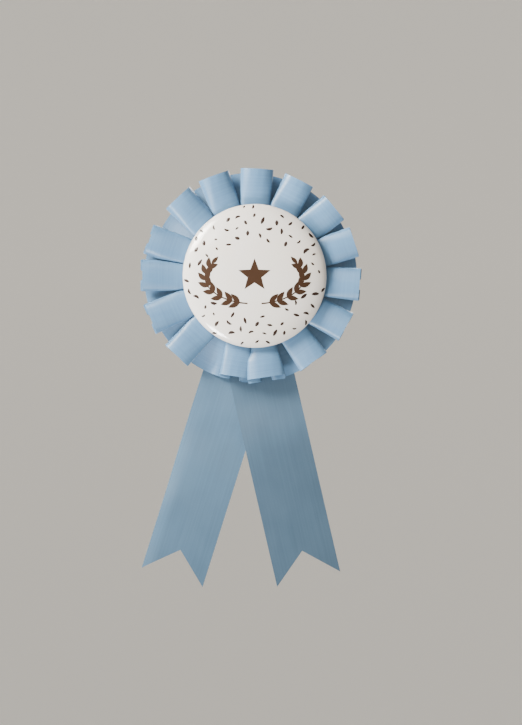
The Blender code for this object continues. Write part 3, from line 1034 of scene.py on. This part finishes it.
    def stitch_tree(self) -> Tree:
        """A tree that lays short stitches end to end round a circle.

        Returns:
            The tree.
        """
        sizes = {
            "Ring Radius": ("NodeSocketFloat", self.stitch_ring * MM),
            "Count": ("NodeSocketInt", self.stitches),
            "Stitch Length": ("NodeSocketFloat", self.stitch_length * MM),
            "Thread Radius": ("NodeSocketFloat", self.thread_radius * MM),
            "Material": ("NodeSocketMaterial", None),
        }
        tree = new_tree("stitch_ring", sizes)
        node = partial(add_node, tree)
        given = node("NodeGroupInput")
        count, length = given["Count"], given["Stitch Length"]
        inputs = {"Resolution": count, "Radius": given["Ring Radius"]}
        circle = node("GeometryNodeCurvePrimitiveCircle", inputs)[0]
        points = node("GeometryNodeCurveToPoints", {"Curve": circle, "Count": count}, mode="COUNT")
        inputs = {"Vertices": 8, "Side Segments": 4, "Radius": given["Thread Radius"]}
        bar = node("GeometryNodeMeshCylinder", inputs | {"Depth": length}, fill_type="NGON")[0]
        spot = node("GeometryNodeInputPosition")[0]
        height = node("ShaderNodeSeparateXYZ", [spot])[2]
        along = node("ShaderNodeMath", [height, length], operation="DIVIDE")[0]
        square = node("ShaderNodeMath", [along, along], operation="MULTIPLY")[0]
        inputs = [square, -self.stitch_taper, 1.0]
        slim = node("ShaderNodeMath", inputs, operation="MULTIPLY_ADD")[0]
        narrow = node("ShaderNodeCombineXYZ", [slim, slim, 1.0])[0]
        tapered = node("ShaderNodeVectorMath", [spot, narrow], operation="MULTIPLY")[0]
        stitch = node("GeometryNodeSetPosition", {"Geometry": bar, "Position": tapered})[0]
        inputs = {"Points": points[0], "Instance": stitch, "Rotation": points["Rotation"]}
        laid = node("GeometryNodeInstanceOnPoints", inputs)[0]
        real = node("GeometryNodeRealizeInstances", [laid])[0]
        done = node("GeometryNodeSetMaterial", {0: real, "Material": given["Material"]})[0]
        node("NodeGroupOutput", [done])
        return tree

    def build_stitches(self) -> bpy.types.Object:
        """Makes the ring of machine stitches on the pleats' inner edges.

        Returns:
            The stitches' object.
        """
        host = placed("stitch_host", bpy.data.meshes.new("stitch_host"))
        made = grown("stitches", host, self.stitch_tree(), material=THREAD.made())
        bpy.data.objects.remove(host)
        made.data.transform(Matrix.Translation((0, -self.stitch_height * MM, 0)) @ FACE_FRONT)
        outward(made.data)
        shade(made.data, 50)
        return made

    def build(self) -> None:
        """Makes and dresses the pleats and their stitches."""
        pleats = self.build_ribbon()
        finished(pleats, SATIN, replaces=("pleat_ribbon",))
        self.outer_run() * MM
        finished(self.build_stitches(), THREAD, replaces=("pleat_thread",))


# Tails -----------------------------------------------------------------------------------


@dataclass
class Tail:
    """One swallow-tail ribbon, stapled under the rosette and hanging free below it.

    Attributes:
        side: which tail.
        lean: its direction from straight down, in degrees towards +X.
        length: from where the tails cross to its points, in mm.
        finish: its satin, darker than the rosette's, with painted shade in its colour.
        rise: how far it stands forward of its held part lower down, in mm.
        curl: how far its left edge turns back at the bottom, in degrees.
        curl_strip: how much of its width turns, in mm.
        wave: how far it ripples, in mm.
        phase: where its ripples start, in degrees.
        bow: how far its middle stands forward of its edges, in mm.
        twist: how far its right edge stands behind its left one at the bottom, in mm.
    """

    side: Side
    lean: float
    length: float
    finish: SatinRibbon
    rise: float
    curl: float
    curl_strip: float
    wave: float
    phase: float
    bow: float
    twist: float
    crossing: tuple[float, float] = (-1.6, -19.9)
    top: float = 13.0
    width: float = RIBBON_WIDTH
    notch: float = 11.4
    thickness: float = 0.24
    columns: int = 44
    rows: int = 150
    bend: tuple[float, float] = (-43.0, -47.0)  # two heights, in mm
    free_run: tuple[float, float] = (26.0, 60.0)  # mm below the crossing: it hangs freely
    rise_run: tuple[float, float] = (24.0, 50.0)
    curl_run: tuple[float, float] = (28.0, 75.0)
    waves: tuple[float, float] = (58.0, 27.0)  # mm long
    short_wave: float = 0.4  # its share of the long wave's height
    slants: tuple[float, float] = (0.5, 1.1)  # how far the waves turn towards the edges

    def __post_init__(self) -> None:
        """Takes the height of its held part from the CAD."""
        low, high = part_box(f"tail_{self.side.value}_anchor")
        self.held_height = -(low.y + high.y) / 2 / MM

    def point(self, u: float, v: float) -> tuple[Vector, tuple[float, float]]:
        """One point of the ribbon.

        Args:
            u: across it, from -1 at the left edge to 1.
            v: along it, from 0 at the top to 1 at the cut end.

        Returns:
            The point in metres, and its place on the cloth in mm.
        """
        lean = math.radians(self.lean)
        down = Vector((math.sin(lean), 0, -math.cos(lean)))
        across = Vector((math.cos(lean), 0, math.sin(lean)))
        run = v * (self.top + self.length - self.notch * (1 - abs(u)))
        below = run - self.top
        free = smoothstep(*self.free_run, below)
        half = self.width / 2
        offset = u * half
        height = self.held_height + self.rise * smoothstep(*self.rise_run, below)
        height += self.bow * free * (1 - u * u)
        height -= self.twist * free * (u + 1) / 2
        phase = math.radians(self.phase)
        long, short = (math.tau * below / wave for wave in self.waves)
        ripple = math.sin(long + phase + self.slants[0] * u)
        ripple += self.short_wave * math.sin(short + 2 * phase - self.slants[1] * u)
        height += self.wave * free * ripple
        turn = math.radians(self.curl) * smoothstep(*self.curl_run, below)
        into = half * (1 + u) - self.curl_strip
        if turn > 0.01 and into < 0:
            share = -into / self.curl_strip
            radius = self.curl_strip / turn
            offset = -half + self.curl_strip - radius * math.sin(turn * share)
            height -= radius * (1 - math.cos(turn * share))
        origin = Vector((self.crossing[0], 0, self.crossing[1]))
        spot = origin + down * below + across * offset
        return Vector((spot.x, -height, spot.z)) * MM, (half * (1 + u), run)

    def build(self) -> None:
        """Makes and dresses the tail as one piece on no body, standing for its two CAD nodes."""
        verts, cloth = [], []
        for i in range(self.rows + 1):
            for j in range(self.columns + 1):
                spot, place = self.point(2 * j / self.columns - 1, i / self.rows)
                verts.append(spot)
                cloth.append(place)
        faces = []
        wide = self.columns + 1
        for i in range(self.rows):
            for j in range(self.columns):
                a = i * wide + j
                faces.append((a, a + wide, a + wide + 1, a + 1))
        name = f"{self.side.value}_tail_ribbon"
        mesh = bpy.data.meshes.new(name)
        mesh.from_pydata(verts, [], faces)
        layer = mesh.uv_layers.new(name=CLOTH_MAP)
        uvs = [cloth[corner.vertex_index] for corner in mesh.loops]
        layer.data.foreach_set("uv", np.array(uvs, np.float32).ravel())
        made = placed(name, mesh)
        walled(made, self.thickness * MM)
        shade(made.data, 60)
        node = f"tail_{self.side.value}"
        finished(made, self.finish, None, (node, node + "_anchor"))
        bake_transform(made)


@dataclass
class Staple:
    """A wire staple: its crown behind the tails, its legs clinched on the card."""

    place: str
    radius: float = 0.25 * MM
    corner: float = 0.55 * MM
    leg_turn: float = 2.5 * MM  # how far each leg runs in under the card
    leg_dip: float = 0.1 * MM

    def build(self) -> None:
        """Makes and dresses the staple inside its CAD node's box."""
        node = f"tail_staple_{self.place}"
        low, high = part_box(node)
        z = (low.z + high.z) / 2
        crown_y, leg_y = high.y - self.radius, low.y + self.radius
        left, right = low.x + self.radius, high.x - self.radius
        line = [
            Vector((left + self.leg_turn, leg_y + self.leg_dip, z)),
            Vector((left, leg_y, z)),
            Vector((left, crown_y, z)),
            Vector((right, crown_y, z)),
            Vector((right, leg_y, z)),
            Vector((right - self.leg_turn, leg_y + self.leg_dip, z)),
        ]
        made = wire(f"{self.place}_staple", line, self.radius, corner=self.corner)
        finished(made, STAPLE_WIRE, replaces=(node,))


# Button badge ----------------------------------------------------------------------------


@dataclass
class ButtonBadge:
    """A domed button badge: printed paper under clear film, pulled over a tinplate shell.

    The print is generic: a small star between two laurel sprigs, and scattered confetti.
    """

    power: float = 2.2
    rise: float = 5.5 * MM
    wall: float = 0.7 * MM
    rings: int = 46
    steps: int = 144
    ink_rise: float = 0.045 * MM
    ink_depth: float = 0.12 * MM
    edge_turns: tuple[tuple[float, float], ...] = (  # share of the edge's depth, mm turned in
        (0.35, 0.02),
        (0.65, 0.1),
        (0.85, 0.22),
        (1.0, 0.42),
    )
    emblem_centre: float = -0.6 * MM  # its Z
    star_radii: tuple[float, float] = (6.6, 2.8)  # mm, points and notches
    star_rise: float = 0.6 * MM
    sprig_reach: tuple[float, float] = (19.2 * MM, 10.4 * MM)
    sprig_turns: tuple[float, float] = (-82.0, 112.0)  # where it starts, and how far it goes
    stem_half: float = 0.27 * MM
    stem_steps: int = 24
    leaf_pairs: int = 8
    leaf_steps: tuple[float, float] = (2.0, 20.46)  # the first pair's, and to the last pair
    leaf_size: tuple[float, float] = (4.9, 2.0)  # mm
    leaf_shrink: float = 0.12  # mm shorter from each pair to the next
    leaf_lean: float = 34.0
    tip_leaf: tuple[float, float] = (3.8, 1.6)  # mm
    clear_reach: tuple[float, float] = (22.0 * MM, 13.6 * MM)  # no confetti inside it
    confetti_radius: float = 27.2 * MM
    confetti_spacing: float = 3.55 * MM
    confetti_sizes: tuple[float, float] = (0.95, 1.85)
    confetti_density: float = 300000.0  # per square metre, before the spacing thins them
    confetti_seed: int = 11
    size_seed: int = 3
    dashes: tuple[tuple[float, float], ...] = (  # arc in degrees, radius in mm
        (80.0, 1.25),
        (50.0, 1.7),
        (10.0, 9.5),
        (6.0, 11.0),
    )
    dash_radius: float = 0.37 * MM
    dash_depth: float = 0.2  # its flatness

    def __post_init__(self) -> None:
        """Takes the dome's size from the film's CAD node."""
        low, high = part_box("button_film")
        self.radius = (high.x - low.x) / 2
        self.crown = -low.y
        self.hem = -high.y
        self.rim = self.crown - self.rise

    def height(self, radius: float) -> float:
        """The film's face at one radius from the badge's middle, as a height h."""
        share = min(radius / self.radius, 1.0)
        return self.rim + self.rise * math.sqrt(1 - share**self.power)

    def on_face(self, x: float, z: float, rise: float) -> Vector:
        """A point this far above the film's face."""
        return Vector((x, -(self.height(math.hypot(x, z)) + rise), z))

    def build_face(self) -> bpy.types.Object:
        """Makes the domed face with its edge turned under.

        Returns:
            The face's object.
        """
        profile = []
        for i in range(self.rings + 1):
            share = math.sin(math.pi / 2 * i / self.rings)
            profile.append((self.radius * share, self.height(self.radius * share)))
        drop = self.rim - self.hem
        for share, inset in self.edge_turns:
            profile.append((self.radius - inset * MM, self.rim - drop * share))
        verts, faces = [(0.0, -profile[0][1], 0.0)], []
        for radius, height in profile[1:]:
            for i in range(self.steps):
                turn = math.tau * i / self.steps
                verts.append((radius * math.cos(turn), -height, radius * math.sin(turn)))
        for i in range(self.steps):
            faces.append((0, 1 + i, 1 + (i + 1) % self.steps))
            for ring in range(len(profile) - 2):
                a, k = 1 + ring * self.steps, (i + 1) % self.steps
                b = a + self.steps
                faces.append((a + i, b + i, b + k, a + k))
        mesh = bpy.data.meshes.new("badge_face")
        mesh.from_pydata(verts, [], faces)
        made = placed("badge_face", mesh)
        outward(mesh)
        walled(made, self.wall, -1.0)
        if made.data.polygons[0].normal.y > 0:
            made.data.flip_normals()
        shade(made.data, 50)
        return made

    def print_outline(self, bm: bmesh.types.BMesh, outline: list[tuple[float, float]]) -> None:
        """Adds one printed shape as a thin solid on the face.

        Args:
            bm: the mesh that takes it.
            outline: its (x, z) points, seen from the front, about its own middle.
        """
        middle = [sum(each) / len(outline) for each in zip(*outline)]
        top = [bm.verts.new(self.on_face(x, z, self.ink_rise)) for x, z in outline]
        low = [bm.verts.new(self.on_face(x, z, -self.ink_depth)) for x, z in outline]
        peak = bm.verts.new(self.on_face(*middle, self.ink_rise))
        foot = bm.verts.new(self.on_face(*middle, -self.ink_depth))
        for i in range(len(outline)):
            bm.faces.new((top[i - 1], top[i], peak))
            bm.faces.new((low[i], low[i - 1], foot))
            bm.faces.new((top[i], top[i - 1], low[i - 1], low[i]))

    def leaf(
        self, x: float, z: float, turn: float, length: float, width: float
    ) -> list[tuple[float, float]]:
        """A pointed leaf's outline.

        Args:
            x: where its stem end is.
            z: where its stem end is.
            turn: where it points, in radians from +X towards +Z.
            length: from stem to tip.
            width: across its middle.

        Returns:
            Its (x, z) points.
        """
        along, across = (math.cos(turn), math.sin(turn)), (-math.sin(turn), math.cos(turn))
        outline = []
        steps = 8
        for side in (1, -1):
            for i in range(steps):
                share = i / steps if side > 0 else 1 - i / steps
                swell = side * width / 2 * math.sin(math.pi * share**0.85)
                reach = length * share
                right = x + along[0] * reach + across[0] * swell
                outline.append((right, z + along[1] * reach + across[1] * swell))
        return outline

    def print_sprig(self, bm: bmesh.types.BMesh, mirror: int) -> None:
        """Adds one laurel sprig: its stem, its pairs of leaves and the leaf at its tip.

        Args:
            bm: the mesh that takes it.
            mirror: -1 for the left sprig, 1 for the right one.
        """
        stem = []
        begin, sweep = self.sprig_turns
        for i in range(self.stem_steps + 1):
            turn = math.radians(begin + sweep * i / self.stem_steps)
            x = mirror * self.sprig_reach[0] * math.cos(turn)
            stem.append((x, self.emblem_centre + self.sprig_reach[1] * math.sin(turn)))
        for before, after in zip(stem, stem[1:]):
            step = Vector((after[0] - before[0], after[1] - before[1]))
            side = Vector((-step.y, step.x)).normalized() * self.stem_half
            corners = ((before, 1), (before, -1), (after, -1), (after, 1))
            outline = [(end[0] + sign * side.x, end[1] + sign * side.y) for end, sign in corners]
            self.print_outline(bm, outline)
        length, width = self.leaf_size
        for i in range(self.leaf_pairs):
            low = int(self.leaf_steps[0] + i * self.leaf_steps[1] / (self.leaf_pairs - 1))
            x, z = stem[low]
            ahead = math.atan2(stem[low + 1][1] - z, stem[low + 1][0] - x)
            size = (length - self.leaf_shrink * i) * MM
            for side in (-1, 1):
                turn = ahead + side * math.radians(self.leaf_lean)
                self.print_outline(bm, self.leaf(x, z, turn, size, width * MM))
        x, z = stem[-1]
        ahead = math.atan2(z - stem[-2][1], x - stem[-2][0])
        length, width = self.tip_leaf
        self.print_outline(bm, self.leaf(x, z, ahead, length * MM, width * MM))

    def build_emblem(self) -> bpy.types.Object:
        """Makes the star and the two laurel sprigs.

        Returns:
            The emblem's object.
        """
        bm = bmesh.new()
        centre_z = self.emblem_centre
        star = []
        for i in range(10):
            turn = math.pi / 2 + math.pi * i / 5
            size = self.star_radii[i % 2] * MM
            height = centre_z + self.star_rise + size * math.sin(turn)
            star.append((size * math.cos(turn), height))
        self.print_outline(bm, star)
        for mirror in (-1, 1):
            self.print_sprig(bm, mirror)
        bmesh.ops.recalc_face_normals(bm, faces=bm.faces)
        mesh = bpy.data.meshes.new("badge_emblem")
        bm.to_mesh(mesh)
        bm.free()
        shade(mesh, 20)
        return placed("badge_emblem", mesh)

    def confetti_tree(self) -> Tree:
        """A tree that scatters small curved and straight dashes over a face, clear of the
        emblem and the rim.

        Returns:
            The tree.
        """
        sizes = {
            "Density": ("NodeSocketFloat", self.confetti_density),
            "Spacing": ("NodeSocketFloat", self.confetti_spacing),
            "Clear Width": ("NodeSocketFloat", self.clear_reach[0]),
            "Clear Height": ("NodeSocketFloat", self.clear_reach[1]),
            "Outer Radius": ("NodeSocketFloat", self.confetti_radius),
            "Seed": ("NodeSocketInt", self.confetti_seed),
            "Material": ("NodeSocketMaterial", None),
        }
        tree = new_tree("confetti", sizes)
        node = partial(add_node, tree)
        given = node("NodeGroupInput")
        seed = given["Seed"]
        inputs = {
            "Mesh": given["Geometry"],
            "Distance Min": given["Spacing"],
            "Density Max": given["Density"],
            "Seed": seed,
        }
        spots = node("GeometryNodeDistributePointsOnFaces", inputs, distribute_method="POISSON")
        place = node("GeometryNodeInputPosition")[0]
        x, y, z = node("ShaderNodeSeparateXYZ", [place])
        lift = node("ShaderNodeMath", [z, -self.emblem_centre], operation="ADD")[0]
        across = node("ShaderNodeMath", [x, given["Clear Width"]], operation="DIVIDE")[0]
        up = node("ShaderNodeMath", [lift, given["Clear Height"]], operation="DIVIDE")[0]
        oval = node("ShaderNodeCombineXYZ", [across, up])[0]
        inside = node("ShaderNodeVectorMath", [oval], operation="LENGTH")[1]
        near = node("FunctionNodeCompare", [inside, 1.0], operation="LESS_THAN")[0]
        level = node("ShaderNodeCombineXYZ", [x, z])[0]
        radius = node("ShaderNodeVectorMath", [level], operation="LENGTH")[1]
        limits = [radius, given["Outer Radius"]]
        far = node("FunctionNodeCompare", limits, operation="GREATER_THAN")[0]
        behind = node("FunctionNodeCompare", [y, -self.rim], operation="GREATER_THAN")[0]
        unwanted = node("FunctionNodeBooleanMath", [near, far], operation="OR")[0]
        unwanted = node("FunctionNodeBooleanMath", [unwanted, behind], operation="OR")[0]
        inputs = {"Geometry": spots["Points"], "Selection": unwanted}
        kept = node("GeometryNodeDeleteGeometry", inputs, domain="POINT")[0]
        shapes = []
        for sweep, arc_radius in self.dashes:
            dash = self.dash(tree, math.radians(sweep), arc_radius * MM)
            shapes.append(node("GeometryNodeGeometryToInstance", [dash])[0])
        any_dash = node("GeometryNodeJoinGeometry", {0: shapes})[0]
        draw = partial(node, "FunctionNodeRandomValue", data_type="FLOAT")
        angle = draw({2: 0.0, 3: math.tau, "Seed": seed})[1]
        inputs = {"Axis": (0, 0, 1), "Angle": angle}
        turned = node("FunctionNodeAxisAngleToRotation", inputs)[0]
        inputs = [spots["Rotation"], turned]
        faced = node("FunctionNodeRotateRotation", inputs, rotation_space="LOCAL")[0]
        smallest, largest = self.confetti_sizes
        size = draw({2: smallest, 3: largest, "Seed": self.size_seed})[1]
        inputs = {"Points": kept, "Instance": any_dash, "Rotation": faced, "Scale": size}
        inputs["Pick Instance"] = True
        scattered = node("GeometryNodeInstanceOnPoints", inputs)[0]
        real = node("GeometryNodeRealizeInstances", [scattered])[0]
        done = node("GeometryNodeSetMaterial", {0: real, "Material": given["Material"]})[0]
        node("NodeGroupOutput", [done])
        return tree

    def dash(self, tree: Tree, sweep: float, radius: float) -> Socket:
        """One flat dash on an arc, widest at its middle.

        Args:
            tree: the tree that takes its nodes.
            sweep: the arc's angle in radians.
            radius: the arc's radius.

        Returns:
            The dash's mesh socket, centred at the origin.
        """
        node = partial(add_node, tree)
        inputs = {
            "Resolution": 9,
            "Radius": radius,
            "Start Angle": -sweep / 2,
            "Sweep Angle": sweep,
        }
        arc = node("GeometryNodeCurveArc", inputs, mode="RADIUS")[0]
        along = node("GeometryNodeSplineParameter")[0]
        half_turn = node("ShaderNodeMath", [along, math.pi], operation="MULTIPLY")[0]
        swell = node("ShaderNodeMath", [half_turn], operation="SINE")[0]
        fat = node("ShaderNodeMath", [swell, 0.65, 0.35], operation="MULTIPLY_ADD")[0]
        inputs = {"Resolution": 8, "Radius": self.dash_radius}
        section = node("GeometryNodeCurvePrimitiveCircle", inputs)[0]
        inputs = {"Curve": arc, "Profile Curve": section, "Scale": fat, "Fill Caps": True}
        solid = node("GeometryNodeCurveToMesh", inputs)[0]
        flatness = (1, 1, self.dash_depth)
        inputs = {"Geometry": solid, "Translation": (-radius, 0, 0), "Scale": flatness}
        return node("GeometryNodeTransform", inputs)[0]

    def build(self) -> None:
        """Makes and dresses the badge and the parts behind its face."""
        face = self.build_face()
        confetti = grown("badge_confetti", face, self.confetti_tree(), material=INK_DARK.made())
        outward(confetti.data)
        shade(confetti.data, 50)
        finished(face, BADGE, replaces=("button_film", "button_print"))
        finished(confetti, INK_DARK)
        finished(self.build_emblem(), INK)
        dress_node("button_shell", TINPLATE)
        dress_node("button_back", TINPLATE)


# Behind the pleats -----------------------------------------------------------------------


@dataclass
class Backing:
    """The card disc, the glue on it, and the card cover that hides the stitches."""

    edge: float = 0.22 * MM
    waist: float = 0.9 * MM  # how far the glue puck draws in at its middle

    def build(self) -> None:
        """Makes and dresses the cover and the glue puck, and dresses what stays."""
        low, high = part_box("back_cover")
        radius = (high.x - low.x) / 2
        profile = rounded_disc(radius, -high.y, -low.y, self.edge)
        cover = lathe("card_cover", profile, FACE_FRONT, 160)
        finished(cover, WHITE_CARD, replaces=("back_cover",))
        low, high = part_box("button_glue")
        radius, middle = (high.x - low.x) / 2, (high.z + low.z) / 2
        rear, front = -high.y, -low.y
        bulge = []
        for i in range(9):
            turn = math.pi * i / 8
            level = (rear + front) / 2 + (front - rear) / 2 * math.cos(turn)
            bulge.append((radius - self.waist * math.sin(turn), level))
        profile = [(0.0, front), *bulge, (0.0, rear)]
        puck = lathe("glue_puck", profile, Matrix.Translation((0, 0, middle)) @ FACE_FRONT, 64)
        finished(puck, GLUE, replaces=("button_glue",))
        dress_node("pleat_glue", GLUE)
        dress_node("rosette_card", GREY_BOARD)


@dataclass
class BarPin:
    """A nickel-plated bar pin on foam tape, with a turning catch."""

    bevel: float = 0.12 * MM
    needle_radius: float = 0.4 * MM
    eye_radius: float = 1.1 * MM
    taper: float = 2.6 * MM
    tip: float = 0.12  # the point's share of the needle's radius
    head_depth: float = 0.4 * MM
    head_edge: tuple[float, float] = (0.08 * MM, 0.05 * MM)  # its height and its chamfer
    squeeze: float = 0.035  # how much the tape narrows where it is stuck down

    def build(self) -> None:
        """Makes and dresses the pin's pieces."""
        base = bevelled_copy("pin_base", "bar_pin_base", self.bevel)
        finished(base, NICKEL, replaces=("pin_base",))
        lock = bevelled_copy("catch_lock", "catch_sleeve", self.bevel)
        finished(lock, NICKEL, Body.LOCK, ("catch_lock",))
        finished(self.rivet(), NICKEL, replaces=("pin_rivet",))
        finished(self.needle(), NEEDLE_WIRE, Body.NEEDLE, ("pin_needle",))
        finished(self.tape(), FOAM, replaces=("pin_tape",))

    def rivet(self) -> bpy.types.Object:
        """Makes the rivet with two domed heads.

        Returns:
            The rivet's object.
        """
        low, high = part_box("pin_rivet")
        centre = (low + high) / 2
        half, head = (high.z - low.z) / 2, (high.x - low.x) / 2
        seat, shank = half - self.head_depth, head / 2
        edge, chamfer = self.head_edge
        upper = [(0.0, half)]
        for i in range(1, 8):
            turn = math.pi / 2 * i / 8
            dome = seat + edge + (half - seat - edge) * math.cos(turn)
            upper.append((head * math.sin(turn), dome))
        upper += [(head, seat + edge), (head - chamfer, seat), (shank, seat)]
        profile = upper + [(r, -h) for r, h in upper[::-1]]
        return lathe("hinge_rivet", profile, Matrix.Translation(centre), 48)

    def needle(self) -> bpy.types.Object:
        """Makes the needle: its eye round the rivet, its shank and its ground point.

        Returns:
            The needle's object.
        """
        low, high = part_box("pin_needle")
        rivet_low, rivet_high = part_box("pin_rivet")
        hinge = (rivet_low + rivet_high) / 2
        line = []
        steps = 36
        for i in range(steps + 1):
            turn = math.tau - (math.tau - math.pi / 2) * i / steps
            line.append(hinge + Vector((math.cos(turn), math.sin(turn), 0)) * self.eye_radius)
        shank_y = hinge.y + self.eye_radius
        for x in np.linspace(hinge.x + 1.0 * MM, high.x - self.taper, 8):
            line.append(Vector((float(x), shank_y, hinge.z)))
        line.append(Vector((high.x, shank_y, hinge.z)))
        return wire("needle", line, self.needle_radius, tip=self.tip)

    def tape(self) -> bpy.types.Object:
        """Makes the foam tape, its sides pressed out a little in the middle.

        Returns:
            The tape's object.
        """
        low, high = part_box("pin_tape")
        bm = bmesh.new()
        bmesh.ops.create_cube(bm, size=1.0)
        bmesh.ops.subdivide_edges(bm, edges=bm.edges[:], cuts=9, use_grid_fill=True)
        size, middle = high - low, (low + high) / 2
        for vert in bm.verts:
            pinch = 1 - self.squeeze * (abs(vert.co.y) * 2) ** 2
            scale = Vector((size.x * pinch, size.y, size.z * pinch))
            vert.co = vert.co * scale + middle
        mesh = bpy.data.meshes.new("pin_foam_tape")
        bm.to_mesh(mesh)
        bm.free()
        shade(mesh, 40)
        return placed("pin_foam_tape", mesh)


# Studio ----------------------------------------------------------------------------------


@dataclass(frozen=True)
class Light:
    """A square area light that faces the badge.

    Attributes:
        name: its name.
        place: where it stands.
        size: its side.
        power: in watts.
        colour: its colour.
        spread: the angle of its beam in degrees, narrow for a gridded softbox.
    """

    name: str
    place: tuple[float, float, float]
    size: float
    power: float
    colour: str
    spread: float = 180.0

    def build(self, aim_z: float) -> None:
        """Adds the light.

        Args:
            aim_z: the height of the point that it faces.
        """
        lamp = bpy.data.lights.new(self.name, "AREA")
        lamp.size = self.size
        lamp.energy = self.power
        lamp.color = srgb(self.colour)[:3]
        lamp.spread = math.radians(self.spread)
        stand = bpy.data.objects.new(self.name, lamp)
        stand.location = self.place
        aim = Vector((0, 0, aim_z)) - Vector(self.place)
        stand.rotation_euler = aim.to_track_quat("-Z", "Y").to_euler()
        bpy.context.scene.collection.objects.link(stand)


@dataclass
class Studio:
    """A pale sweep, soft lights and the camera."""

    distance: float = 900.0 * MM  # from the camera to the badge's plane
    lens: float = 114.6  # mm
    target: tuple[float, float] = (2.5 * MM, -33.7 * MM)
    plane_y: float = -8.0 * MM
    aim_z: float = 20.0 * MM  # the lights' aim
    floor_z: float = -0.5
    wall_radius: float = 2.2
    wall_height: float = 2.2
    curve: float = 0.6  # the radius between the floor and the wall
    paper: float = 0.01  # the sweep's thickness
    lights: tuple[Light, ...] = (
        Light("key", (-0.34, -0.22, 0.27), 0.24, 1.0, "#FFFAF2", 42.0),
        Light("front", (-0.55, -1.20, 0.55), 0.7, 0.16, "#FFFDF8", 18.0),
        Light("glint", (-0.316, -0.31, -0.434), 0.2, 0.3, "#FFFFFF", 26.0),
        Light("fill", (0.45, -0.33, 0.05), 0.4, 0.2, "#FFE4D2"),
        Light("rear", (0.3, 0.55, 0.4), 0.5, 8.5, "#FFFFFF"),
    )

    def build(self) -> None:
        """Makes the sweep, the lights, the world and the camera."""
        self.sweep()
        for light in self.lights:
            light.build(self.aim_z)
        world = bpy.data.worlds.new("studio")
        world.use_nodes = True
        sky = world.node_tree.nodes["Background"]
        sky.inputs["Color"].default_value = srgb("#F2F1EE")
        sky.inputs["Strength"].default_value = 0.18
        bpy.context.scene.world = world
        self.camera()

    def sweep(self) -> None:
        """Makes a round pale floor that curves up into a wall all round, faintly lit."""
        profile = [(0.0, self.floor_z), (self.wall_radius - self.curve, self.floor_z)]
        for i in range(1, 17):
            turn = math.pi / 2 * i / 16
            radius = self.wall_radius - self.curve * (1 - math.sin(turn))
            profile.append((radius, self.floor_z + self.curve * (1 - math.cos(turn))))
        profile.append((self.wall_radius, self.floor_z + self.wall_height))
        for radius, height in profile[::-1]:
            profile.append((radius + self.paper if radius else 0.0, height - self.paper))
        floor = lathe("sweep", profile, Matrix(), 96)
        paper = bpy.data.materials.new("sweep_paper")
        paper.use_nodes = True
        shader = paper.node_tree.nodes["Principled BSDF"]
        shader.inputs["Base Color"].default_value = srgb("#DEDAD2")
        shader.inputs["Roughness"].default_value = 0.9
        shader.inputs["Emission Color"].default_value = srgb("#F2EFE9")
        shader.inputs["Emission Strength"].default_value = 0.32
        floor.data.materials.append(paper)

    def camera(self) -> None:
        """Adds the camera, which looks straight at the badge's front."""
        data = bpy.data.cameras.new("camera")
        data.lens = self.lens
        data.clip_start, data.clip_end = 0.01, 20.0
        camera = bpy.data.objects.new("camera", data)
        camera.location = (self.target[0], self.plane_y - self.distance, self.target[1])
        camera.rotation_euler = (math.radians(90), 0, 0)
        bpy.context.scene.collection.objects.link(camera)
        bpy.context.scene.camera = camera


def main() -> None:
    """Builds every sub-assembly."""
    logging.basicConfig(level=logging.INFO, format="%(message)s")
    Studio().build()
    PleatedRosette().build()
    left = Tail(
        Side.LEFT,
        lean=-17.5,
        length=103.0,
        finish=SATIN_LEFT_TAIL_PAINTED_SHADE,
        rise=0.0,
        curl=34.0,
        curl_strip=5.5,
        wave=0.45,
        phase=40.0,
        bow=0.3,
        twist=0.4,
    )
    right = Tail(
        Side.RIGHT,
        lean=13.0,
        length=101.2,
        finish=SATIN_RIGHT_TAIL_PAINTED_SHADE,
        rise=3.2,
        curl=0.0,
        curl_strip=3.0,
        wave=0.35,
        phase=150.0,
        bow=0.4,
        twist=3.6,
    )
    Staple("upper").build()
    Staple("lower").build()
    left.build()
    right.build()
    ButtonBadge().build()
    Backing().build()
    BarPin().build()


if __name__ == "__main__":
    main()
